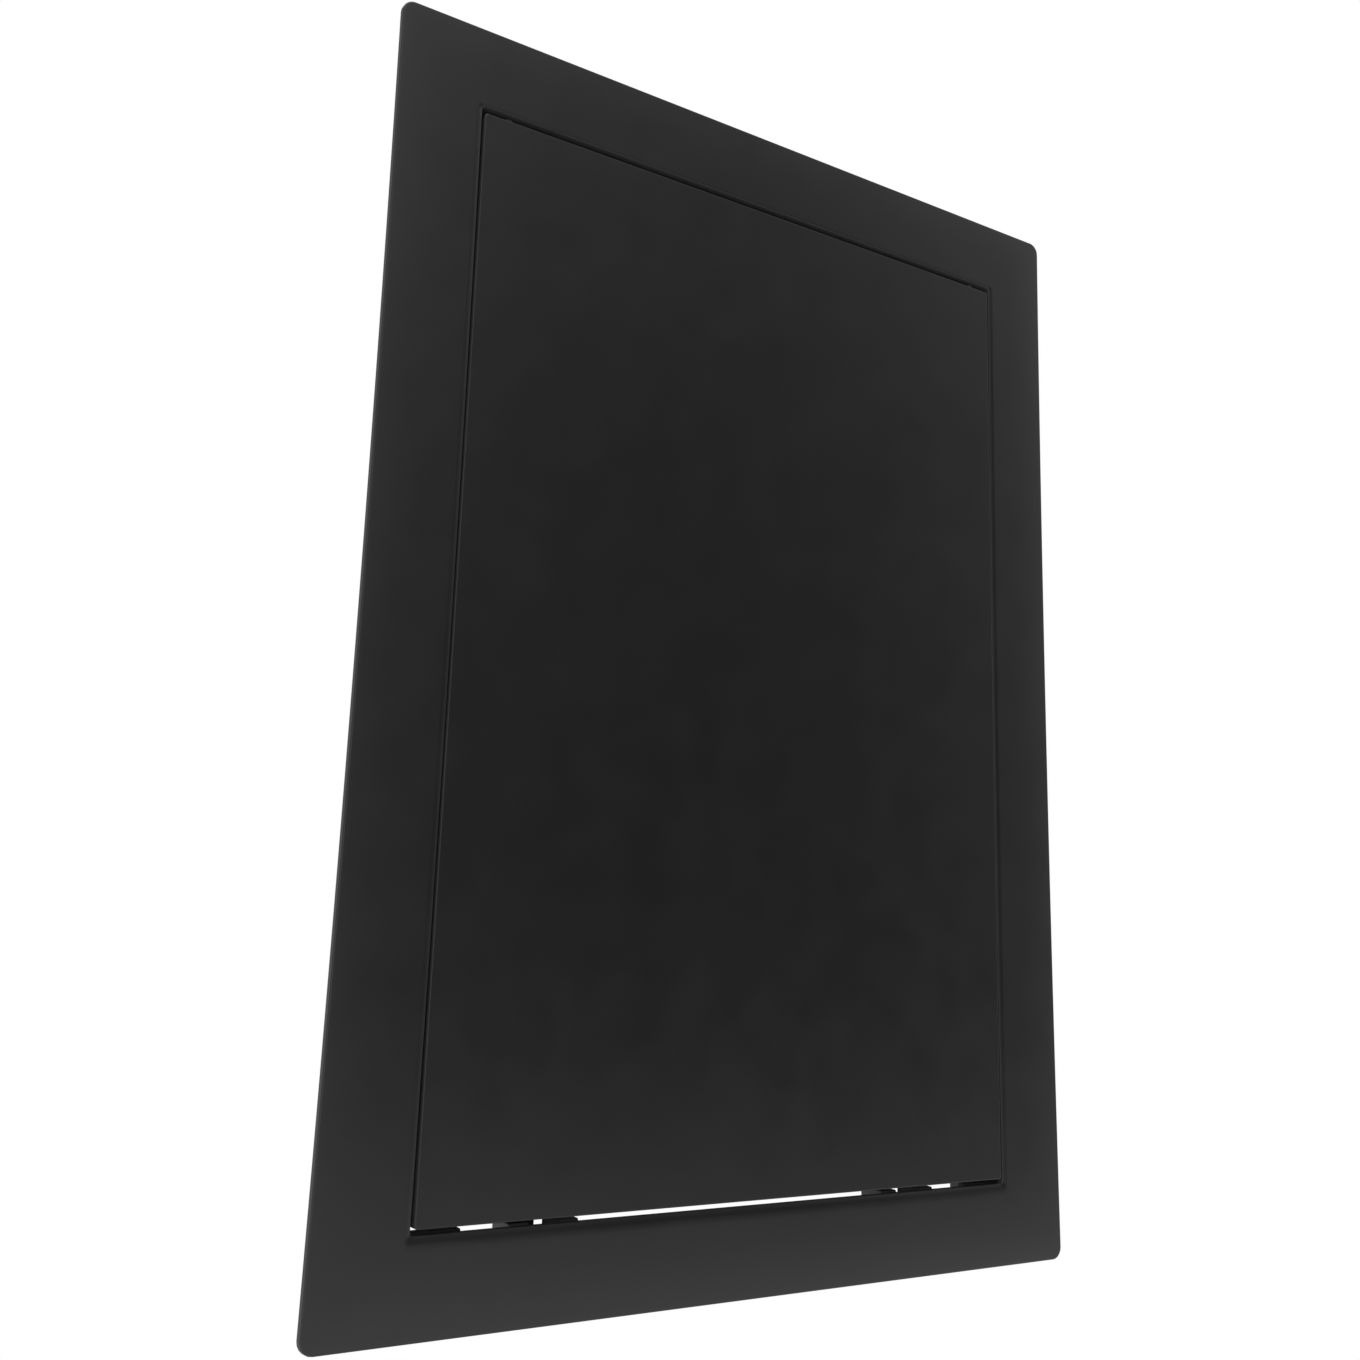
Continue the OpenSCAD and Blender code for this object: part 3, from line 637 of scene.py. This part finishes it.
def slot_outline(a, b, along_first):
    """A slot with round ends about (a, b): two half circles joined by straight sides."""
    half, r = (slot_l - slot_w) / 2, slot_w / 2
    outline = np.concatenate([arc((half, 0), r, -90, 90, steps=12), arc((-half, 0), r, 90, 270, steps=12)])
    return (outline if along_first else outline[:, ::-1]) + np.array([a, b])


def bore(centre, axis, r, low, high, sides=40):
    """A plain cylinder for a hole."""
    return turned([(0, low), (r, low), (r, high), (0, high)], centre, axis, sides)


def collar_cuts():
    """Two wall screw holes and two plaster slots through the sides, two slots in the top and two in the
    floor, and the pilot holes for the bracket screws and the clip screws."""
    past, pilot_l = 4.0, 3.8
    wide = open_x + collar_t + past + 2
    cuts = [bore((0, wall_screw_y, z), "x", wall_screw_r, -wide, wide) for z in pair(0, wall_screw_z)]
    side_slots = [slot_outline(wall_screw_y, z, False) for z in pair(0, wall_screw_z / 2)]
    cuts += [plate(slot, -wide, wide, "x", r=0) for slot in side_slots]
    base_y = (bracket_low[1] + bracket_high[1]) / 2
    for s in SIDES.values():
        slot = slot_outline(s * slot_x, wall_screw_y, True)
        cuts.append(plate(slot, open_z - 1, open_z + past, "z", r=0))
        cuts.append(plate(slot, floor_z - floor_t - past, floor_z + 1, "z", r=0))
        for x in pair(s * hinge_x, bracket_screw_x):
            cuts.append(bore((x, base_y, 0), "z", pilot_r, floor_z - pilot_l, floor_z + 1))
        cuts.append(bore((s * catch_x, 0, catch_z), "y", pilot_r, pad_y - 1, collar_back + 1))
    return cuts


# %% [markdown]
# A long wall draws in a little at the middle of its length, where it cools last. The long sides of this
# frame are drawn in by about a millimetre, which the photograph shows as a slight waist. The door draws in
# less, because its ribs hold it, so the gap beside it is narrowest at mid-height. The shape is a parabola.


# %% The waist
frame_waist, door_waist = 0.009, 0.003


def drawn_in(piece, share):
    """Scales x by one minus share times one minus the square of the height over half the frame's height."""
    def waist(x, y, z):
        return x * (1 - share * (1 - np.clip(z / frame_high[2], -1, 1) ** 2)), y, z
    return reshaped(piece, waist)


# %% Frame, all together
ledges = [corner_ledge(s) for s in SIDES.values()]
pads = [solid for s in SIDES.values() for solid in catch_pad(s)]
frame_piece = fused("frame_moulding", [flange, collar, stop_lip(), *ledges, *pads], collar_cuts())
finished(drawn_in(frame_piece, frame_waist), "frame", frame_abs, hidden=frame_walls_matt_painted_light)

# %% [markdown]
# ## The door
# The door is a shallow tray: a flat skin with a return rim all round it. Behind the skin, thin ribs keep it
# flat and bosses take the screws. The tray is one profile carried round the door's outline. Ribs and bosses
# have draft, so that they leave the mould, and a flared root, so that the melt fills them.


# %% Tray
def tray_loop(inset, y):
    """A loop inside the door's outline, with its corner radius getting smaller but never sharp."""
    outer_r, shrink, least_r = 1.0, 0.5, 0.3
    corner = max(outer_r - inset * shrink, least_r)
    return (-door_x + inset, door_x - inset, door_bottom + inset, door_top - inset, corner, y)


def tray_profile():
    """The tray's section: over the front edge on a quarter circle, back along the rim, round its end,
    forward along the inside and out of the root on a fillet."""
    edge_r, soft, root = 0.35, 0.5, 0.6
    side, rise = quarter(90, 0, 9, edge_r)
    edge = np.column_stack([side, front + rise])
    inwards, sink = quarter(0, 90, 4)
    outer = np.column_stack([soft * inwards, rim_back - soft * sink])
    inner = np.column_stack([rim_t - soft * inwards, rim_back - soft * sink])[::-1]
    fillet = np.column_stack([rim_t + root * inwards, door_back + root * sink])
    return np.concatenate([edge, outer, inner, fillet])


tray = carried([tray_loop(inset, y) for inset, y in tray_profile()], closed=False)
print("tray of", len(tray.data.vertices), "points")


# %% Ribs
def places(length, gap):
    """Places of evenly spaced ribs across a length, no further apart than gap."""
    count = math.ceil(length / gap)
    return -length / 2 + np.arange(1, count) * length / count


def rib(middle, low, high, axis):
    """A rib: half widths at each height, from a flared root up a drafted side to a rounded top."""
    half = np.array([1.3, 1.3, 0.95, 0.8, 0.7, 0.62, 0.4])
    height = door_back + np.array([-0.4, 0.0, 0.2, 0.6, 3.6, 3.9, 4.0])
    section = np.column_stack([np.concatenate([half, -half[::-1]]), np.concatenate([height, height[::-1]])])
    section[:, 0] += middle
    return plate(section if axis == "z" else section[:, ::-1], low, high, axis, r=0)


rib_end = rim_t / 2
door_middle = (door_top + door_bottom) / 2
uprights = [rib(x, door_bottom + rib_end, door_top - rib_end, "z") for x in places(2 * door_x, rib_gap)]
rib_levels = door_middle + places(door_top - door_bottom, rib_gap)
levels = [rib(z, -door_x + rib_end, door_x - rib_end, "x") for z in rib_levels]
print(len(uprights), "upright and", len(levels), "level ribs")

# %% Bosses and spacer nibs
arm_screw_low, arm_screw_high = box_mm("arm_screws_right")
arm_screw_z = (arm_screw_low[2] + arm_screw_high[2]) / 2
boss_places = [
    (s * x + t * offset, z)
    for s in SIDES.values()
    for t in (-1, 1)
    for x, z, offset in ((hinge_x, arm_screw_z, arm_screw_x), (catch_x, catch_z, striker_screw_x))
]
boss_r = 4.0
bosses = [turned(tube(pilot_r, boss_r, door_back, boss_y), (x, 0, z), "y") for x, z in boss_places]
print(len(bosses), "bosses")


def nib(s):
    """A spacer nib on the top rim: a short bar with a round crown and rounded ends."""
    nib_r, soft, rise = 1.5, 0.35, 0.4
    low, high = front + 0.5, door_back + rim_t
    half = [(0, low), (nib_r - soft, low), (nib_r, low + rise)]
    half += [(nib_r, high - rise), (nib_r - soft, high), (0, high)]
    return turned(half, (s * (open_x - nib_inset), 0, door_top + nib_h - nib_r), "y", sides=32)


# %% Door, all together
door_piece = fused("door_moulding", [tray, *uprights, *levels, *bosses, *[nib(s) for s in SIDES.values()]])
finished(drawn_in(door_piece, door_waist), "door_panel", door_abs, hidden=door_walls_matt_painted_light)

# %% [markdown]
# ## Hinges
# A flush door with a narrow gap can't turn about a plain pin at its edge. The pin lies behind the flange
# and below the opening, and a gooseneck arm reaches round the flange's edge to the door's back. The arm is
# a strip of constant thickness along a path of arcs, so it is drawn as that path and given its width as a
# plate.


# %% Bracket
ear_bore_r, knuckle_bore_r = 1.53, 1.55


def bracket(side):
    """Base plate with rounded corners and two thick ears. An ear is a rectangle whose upper rear corner is
    an arc. It has a bore for the pin and a hollow in its back, because a moulding keeps its walls even."""
    x, deep, base_top = SIDES[side] * hinge_x, bracket_high[1], floor_z + base_t
    half_w = hinge_w / 2 + base_wing
    base = plate(box_outline(*pair(x, half_w), 0, deep, r=2.0), floor_z, base_top, "z", r=0.35)
    rear_r, front_r, wall, hollow_y = 1.5, 0.5, 1.6, pivot_y + 3.1
    ear = np.concatenate([
        [(0, base_top - lap), (ear_deep, base_top - lap)],
        arc((ear_deep - rear_r, rest_z - rear_r), rear_r, 0, 90),
        arc((front_r, rest_z - front_r), front_r, 90, 180, steps=4),
    ])
    middles = pair(x, (hinge_w - ear_t) / 2)
    ears = [plate(ear, *pair(middle, ear_t / 2), "x", r=0.3) for middle in middles]
    half = ear_t / 2 - wall
    hollow = box_outline(hollow_y, ear_deep + 1, base_top + 0.2, rest_z - wall, r=0.4)
    cuts = [plate(hollow, *pair(middle, half), "x", r=0.2) for middle in middles]
    cuts.append(bore((x, pivot_y, pivot_z), "x", ear_bore_r, -hinge_w, hinge_w, sides=48))
    screws = pair(x, bracket_screw_x)
    cuts += [bore((at, deep / 2, 0), "z", clear_r, floor_z - 1, base_top + 1) for at in screws]
    return fused(f"hinge_bracket_{side}_moulding", [base, *ears], cuts)


# %% Gooseneck arm
arm_bend_r, arm_reach, arm_rise, foot_h, neck_h = 3.0, 11.2, 17.5, 24.0, 10.0


def gooseneck(start):
    """The arm's middle line in (y, z) from given first points: up round a bend, forward round a second, and
    up again through a third along the door's bosses."""
    r, foot = arm_bend_r, boss_y + arm_t / 2 - pivot_y
    line = np.concatenate([
        start, arc((arm_reach - r, arm_rise - r), r, 0, 90), arc((foot + r, arm_rise + r), r, 270, 180),
        [(foot, arm_rise + foot_h)],
    ])
    return line + np.array([pivot_y, pivot_z])


def arm(side):
    """Knuckle, narrow neck, wide upper part and middle rib as one moulding, with the pin's bore and the two
    screw holes. The wide part starts with sloping shoulders, which two wedges cut from its lower
    corners."""
    x, r, half_neck = SIDES[side] * hinge_x, arm_bend_r, neck_w / 2
    knuckle_r, soft = 2.8, 0.3
    knuckle = turned(
        [(0, -half_neck), (knuckle_r - soft, -half_neck), (knuckle_r, -half_neck + soft),
         (knuckle_r, half_neck - soft), (knuckle_r - soft, half_neck), (0, half_neck)],
        (x, pivot_y, pivot_z), "x", sides=48)
    low_bend = np.concatenate([[(0, 0)], arc((arm_reach - r, r), r, -90, 0)])
    neck = plate(strip(gooseneck(low_bend), arm_t), *pair(x, half_neck), "x", r=0.4)
    upper = strip(gooseneck([(arm_reach, neck_h - 0.5)]), arm_t)
    wide = plate(upper, *pair(x, arm_w / 2), "x", r=0.4)
    back, low = boss_y + arm_t, pivot_z + arm_rise
    top, web_y = low + foot_h * 0.85, pivot_y + 8.2
    web = [(back - lap, low), (web_y, low), (back + 1, top), (back - lap, top)]
    stiffener = plate(softened(web, r=0.6), *pair(x, 1), "x", r=0.35)
    cuts = [bore((x, pivot_y, pivot_z), "x", knuckle_bore_r, -arm_w, arm_w, sides=48)]
    cuts += [bore((at, 0, arm_screw_z), "y", clear_r, boss_y - 1, back + 1) for at in pair(x, arm_screw_x)]
    inner, slope, below = half_neck - 0.02, (arm_w - neck_w) / 2 + 2, -2
    wedge = np.array([(inner, below), (inner, 0), (half_neck + slope, slope), (half_neck + slope, below)])
    for t in (-1, 1):
        shoulder = wedge * [t, 1] + [x, pivot_z + neck_h]
        cuts.append(plate(shoulder, *pair(pivot_y + arm_reach, arm_t), "y", r=0))
    return fused(f"hinge_arm_{side}_moulding", [knuckle, neck, wide, stiffener], cuts)


# %% Pin
def pin(side):
    """Drawn pin: domed head, plain shank and chamfered tip, closed on its axis at both ends. Its head faces
    outwards, so the left pin is drawn from its low end and the right one from its high end."""
    low, high = box_mm(f"hinge_pin_{side}")
    r, head_r, head_t = 1.5, 2.4, 1.0
    length = high[0] - low[0]
    dome = [(0, 0.0), (head_r * 0.55, 0.04), (head_r * 0.85, 0.22), (head_r, 0.55), (head_r, head_t)]
    tip = [(r, length - 0.5), (r - 0.15, length - 0.25), (r - 0.45, length), (0, length)]
    profile = np.array([*dome, (r, head_t), *tip])
    start, way = (low[0], 1) if side == "left" else (high[0], -1)
    piece = turned(profile * [1, way], (start, pivot_y, pivot_z), "x", sides=48)
    piece.name = f"hinge_pin_{side}_turned"
    return piece


for side in SIDES:
    finished(bracket(side), f"hinge_bracket_{side}", black_acetal)
    finished(arm(side), f"hinge_arm_{side}", black_acetal)
    finished(pin(side), f"hinge_pin_{side}", drawn_steel)

# %% [markdown]
# ## Catches
# The door is held by two arrow-headed strikers that snap into spring clips. A clip is one strip of steel
# bent into a U with flared lips. Its path is softened at each bend, because strip can't be folded sharp,
# and the strip's edges are rounded only a little, as a blanked edge is.


# %% Clip
def clip(side):
    """The strip's path runs from one lip round the back to the other and is widened to the strip's
    thickness."""
    x, half_w, throat, deep, steps = SIDES[side] * catch_x, 5.2, 2.5, 10.0, 6
    back = pad_y - clip_t / 2
    mouth = back - deep
    leg = [(half_w, back), (half_w - 0.3, mouth + 5.2), (throat, mouth + 2.6), (half_w - 0.4, mouth)]
    path = np.concatenate([np.array(leg)[::-1] * [-1, 1], leg])
    bends = softened(path, r=1.2, steps=steps)[steps + 1:-steps - 1]
    path = np.concatenate([path[:1], bends, path[-1:]]) + [x, 0]
    body = plate(strip(path, clip_t), clip_low[2], clip_high[2], "z", r=0.12)
    hole = bore((x, 0, catch_z), "y", clear_r, back - 2, back + 2)
    return fused(f"catch_clip_{side}_strip", [body], [hole])


# %% Striker
def striker(side):
    """Base plate with a turned stem and an arrow head whose nose is slightly rounded."""
    x, half_h, r, head = SIDES[side] * catch_x, 4.5, 1.7, 3.4
    top, tip = boss_y + striker_t, striker_high[1]
    half_w = (striker_high[0] - striker_low[0]) / 2
    outline = box_outline(*pair(x, half_w), *pair(catch_z, half_h), r=2.0)
    base = plate(outline, boss_y, top, "y", r=0.35)
    root = [(0, top - lap), (r * 1.5, top - lap), (r * 1.5, top + 0.2), (r * 1.25, top + 0.6), (r, top + 1.4)]
    barb = [(r, tip - 3.6), (r + 0.15, tip - 3.45), (head - 0.2, tip - 2.5), (head, tip - 2.3)]
    nose = [(head, tip - 2.05), (head - 0.12, tip - 1.85), (head * 0.5, tip - 0.45), (head * 0.3, tip - 0.12)]
    stem = turned([*root, *barb, *nose, (0, tip)], (x, 0, catch_z), "y", sides=48)
    holes = [bore((at, 0, catch_z), "y", clear_r, boss_y - 1, top + 1) for at in pair(x, striker_screw_x)]
    return fused(f"striker_{side}_moulding", [base, stem], holes)


for side in SIDES:
    finished(clip(side), f"catch_clip_{side}", spring_steel)
    finished(striker(side), f"striker_{side}", black_acetal)

# %% [markdown]
# ## Screws
# The fourteen small screws are pan heads with a cross recess and a coarse thread for plastic. One surface
# makes a whole screw: the first parameter runs from the middle of the head over the dome, down its side, in
# under it and along the shank to the point, and the second goes round. The recess lowers the dome inside a
# cross, and the thread swells the shank in a helix.


# %% One screw
head_h = 1.6


def screw_surface(shank_l, head_r=2.4, shank_r=1.3, sides=48):
    """Points of a screw whose head stands on the plane of height 0 and whose shank points down. The dome is
    flat in the middle and falls as the third power of the radius. The thread adds a triangle wave of the
    height over the pitch less the turn round the axis."""
    dome_fall, cross_deep, cross_w, cross_l, wall_w, end_w = 0.5, 1.0, 0.42, 1.45, 0.16, 0.5
    pitch, thread_h, thread_w, plain_l, point_l = 0.9, 0.32, 1.6, 0.6, 1.6 * shank_r
    turn = np.linspace(0, 2 * np.pi, sides, endpoint=False)
    across = np.linspace(0, 1, 15)[:, None] * head_r
    x, y = across * np.cos(turn), across * np.sin(turn)
    narrow = np.clip((cross_w - np.minimum(abs(x), abs(y))) / wall_w, 0, 1)
    short = np.clip((cross_l - np.maximum(abs(x), abs(y))) / end_w, 0, 1)
    dome = head_h - dome_fall * (across / head_r) ** 3 - cross_deep * narrow * short
    side_h = np.array([0.75, 0.3, 0.08, 0.0])
    side_r = head_r * np.array([1.0, 1.0, 0.97, 0.9])
    core = shank_r - thread_h
    depth = np.linspace(0, shank_l, 72)
    taper = np.clip((shank_l - depth) / point_l, 0, 1)
    wave = 1 - np.abs(2 * ((depth[:, None] / pitch - turn / (2 * np.pi)) % 1) - 1)
    swell = core + (shank_r - core) * np.clip(wave * thread_w - 0.4, 0, 1)
    start = np.clip(depth / plain_l, 0, 1)[:, None]
    shank = (swell * start + shank_r * (1 - start)) * taper[:, None]
    radius = np.concatenate([across + 0 * turn, side_r[:, None] + 0 * turn, shank])
    height = np.concatenate([dome, side_h[:, None] + 0 * turn, -depth[:, None] + 0 * turn])
    return np.stack([radius * np.cos(turn), radius * np.sin(turn), height], -1)


# Each turns a screw that points down so that its head faces the side named.
TURNS = {
    "z": np.eye(3),
    "y": np.array([(1, 0, 0), (0, 0, -1), (0, 1, 0)]),
    "-y": np.array([(1, 0, 0), (0, 0, 1), (0, -1, 0)]),
}


# %% Screws in their nodes
def screw_node(node, seats, way):
    """One object for a node's screws: a seat is the middle of the face under a head that faces way."""
    low, high = box_mm(node)
    axis = 2 if way == "z" else 1
    length = (high[axis] - low[axis]) - head_h
    mesh = bpy.data.meshes.new(node)
    work = bmesh.new()
    for seat in seats:
        solid = skin(screw_surface(length) @ TURNS[way] + np.array(seat))
        work.from_mesh(solid.data)
        bpy.data.objects.remove(solid)
    work.to_mesh(mesh)
    work.free()
    return finished(placed(f"{node}_turned", mesh), node, zinc_steel, smooth=50)


for side, s in SIDES.items():
    hinge, catch = s * hinge_x, s * catch_x
    on_base = [(x, bracket_high[1] / 2, floor_z + base_t) for x in pair(hinge, bracket_screw_x)]
    on_arm = [(x, boss_y + arm_t, arm_screw_z) for x in pair(hinge, arm_screw_x)]
    on_striker = [(x, boss_y + striker_t, catch_z) for x in pair(catch, striker_screw_x)]
    screw_node(f"bracket_screws_{side}", on_base, "z")
    screw_node(f"arm_screws_{side}", on_arm, "y")
    screw_node(f"striker_screws_{side}", on_striker, "y")
    screw_node(f"clip_screw_{side}", [(catch, pad_y - clip_t, catch_z)], "-y")

# %% [markdown]
# ## Camera
# The photograph looks up at the hatch from the left and from below its middle. The camera's place,
# direction and focal length were worked out from the corners of the flange, the opening and the door. The
# small shift stands for the picture's middle, which lies a little off the lens's axis.

# %% Camera at the photograph's angle
image_px = 1360
focal_px = 1428.5
middle_px = (665.6, 630.5)
camera_at = Vector((-245.16, -340.65, -76.65)) * MM
camera_right = Vector((0.8421, -0.5385, 0.0316))
camera_up = Vector((-0.1373, -0.1573, 0.9780))
lens = bpy.data.cameras.new("Camera")
lens.sensor_width = 36.0
lens.lens = lens.sensor_width * focal_px / image_px
lens.shift_x = (image_px / 2 - middle_px[0]) / image_px
lens.shift_y = (middle_px[1] - image_px / 2) / image_px
lens.clip_start = 0.01
camera = placed("Camera", lens)
camera_back = camera_right.cross(camera_up).normalized()
turn = Matrix((camera_right, camera_up, camera_back)).transposed()
camera.matrix_world = Matrix.Translation(camera_at) @ turn.to_4x4()
bpy.context.scene.camera = camera
print("lens", round(lens.lens, 2), "mm, shift", round(lens.shift_x, 4), round(lens.shift_y, 4))

# %% [markdown]
# ## Studio
# The hatch hangs a quarter of a metre above a pale floor, because its open door reaches below its frame.
# The world is plain white for the camera and for reflections, and a large soft lamp from above and two
# weaker ones model the edges. A satin black face shows almost only what it mirrors, so a wide card stands
# where the front mirrors the room, dark in its middle and white towards its rim. It keeps the middle of the
# door deep and lets its edges lift, as in the photograph. A second card, plain grey, keeps the faces that
# look to the left from mirroring white.

# %% World
world = bpy.data.worlds.new("Studio")
bpy.context.scene.world = world
bpy.context.scene.view_settings.view_transform = "Standard"
world.use_nodes = True
sky = world.node_tree
sky_shader = sky.nodes["Background"]
ray = add(sky, "ShaderNodeLightPath")
seen = ray.outputs["Is Camera Ray"]
for kind in ("Is Glossy Ray", "Is Transmission Ray"):
    seen = add(sky, "ShaderNodeMath", {"operation": "MAXIMUM"}, in0=seen, in1=ray.outputs[kind]).outputs[0]
fill = 0.55
level = add(sky, "ShaderNodeMapRange", Value=seen, To_Min=fill, To_Max=1.0)
sky.links.new(level.outputs["Result"], sky_shader.inputs["Strength"])
sky_shader.inputs["Color"].default_value = linear("#ffffff")
print("world at", fill, "for soft light and white where it is seen")


# %% Lamps
def lamp(name, place, size, power):
    """A square soft lamp that faces the hatch, with its place and size in metres and its power in watts."""
    light = bpy.data.lights.new(name, "AREA")
    light.size = size
    light.energy = power
    thing = placed(name, light)
    thing.location = place
    thing.rotation_euler = (-Vector(place)).to_track_quat("-Z", "Y").to_euler()
    print("lamp", name, power, "W")


lamp("Overhead", (-0.5, -0.3, 1.9), size=1.6, power=12)
lamp("Left", (-1.8, 0.5, 0.5), size=1.2, power=5)
lamp("Rear", (0.9, 1.6, 0.9), size=1.2, power=5)


# %% Floor
def disc(name, height, radius, sides=96):
    """A flat round sheet of one face that looks up, in metres."""
    t = np.linspace(0, 2 * np.pi, sides, endpoint=False)
    rim = np.column_stack([radius * np.cos(t), radius * np.sin(t), np.full(sides, height)])
    mesh = bpy.data.meshes.new(name)
    mesh.from_pydata(rim.tolist(), [], [list(range(sides))])
    return placed(name, mesh)


# The paint is a matt near-white that keeps the hatch's shadow, and further out it turns into a white glow,
# so that the floor has no edge against the world.
floor_z_m, floor_r, paint_r, glow_r = -0.42, 8.0, 0.12, 0.84
floor = disc("Floor", floor_z_m, floor_r)
floor_paint, tree, shader, place = material("pale_studio_floor")
shader.inputs["Base Color"].default_value = linear("#f7f7f6")
shader.inputs["Roughness"].default_value = 0.9
away = add(tree, "ShaderNodeVectorMath", {"operation": "LENGTH"}, in0=place)
smooth = {"interpolation_type": "SMOOTHSTEP"}
fade = add(tree, "ShaderNodeMapRange", smooth, Value=away.outputs["Value"], From_Min=paint_r, From_Max=glow_r)
white = add(tree, "ShaderNodeEmission", Color=linear("#ffffff"), Strength=1.0)
share = fade.outputs["Result"]
blend = add(tree, "ShaderNodeMixShader", in0=share, in1=shader.outputs[0], in2=white.outputs[0])
tree.links.new(blend.outputs[0], tree.nodes["Material Output"].inputs["Surface"])
floor.data.materials.append(floor_paint)
print("floor", floor_z_m, "m below the middle of the hatch")


# %% Grey cards that the hatch mirrors
def card(name, way, distance, radius):
    """A round card that faces the hatch from a direction and shows only in reflections, in metres."""
    thing = disc(name, 0.0, radius)
    way = Vector(way).normalized()
    turn = (-way).to_track_quat("Z", "Y").to_matrix().to_4x4()
    thing.matrix_world = Matrix.Translation(way * distance) @ turn
    thing.visible_camera = thing.visible_diffuse = thing.visible_shadow = False
    paint, tree, _, place = material(name.lower() + "_grey")
    glow = add(tree, "ShaderNodeEmission", Color=linear("#ffffff"))
    tree.links.new(glow.outputs[0], tree.nodes["Material Output"].inputs["Surface"])
    thing.data.materials.append(paint)
    return tree, place, glow.inputs["Strength"]


# The front card's tone is measured in an oval, half_w by half_h metres, whose middle lies below the card's.
# It grows as the sixth power of the distance there, so the card is dark inside the oval, white outside.
half_w, half_h, oval_up, power, gain, palest = 0.75, 2.5, -1.74, 6.0, 0.32, 1.0
tree, place, strength = card("Front card", (0.52, -0.83, 0.23), distance=1.18, radius=2.8)
shift, squeeze = (0, -oval_up / half_h, 0), (1 / half_w, 1 / half_h, 0)
oval = add(tree, "ShaderNodeMapping", Vector=place, Location=shift, Scale=squeeze)
reach = add(tree, "ShaderNodeVectorMath", {"operation": "LENGTH"}, in0=oval.outputs["Vector"])
tone = reach.outputs["Value"]
for operation, value in (("POWER", power), ("MULTIPLY", gain), ("MINIMUM", palest)):
    tone = add(tree, "ShaderNodeMath", {"operation": operation}, in0=tone, in1=value).outputs[0]
tree.links.new(tone, strength)

side_tone = 0.45
tree, place, strength = card("Side card", (-0.95, 0.2, 0.2), distance=1.6, radius=2.4)
strength.default_value = side_tone
print("card tones", gain, "in front and", side_tone, "at the side")
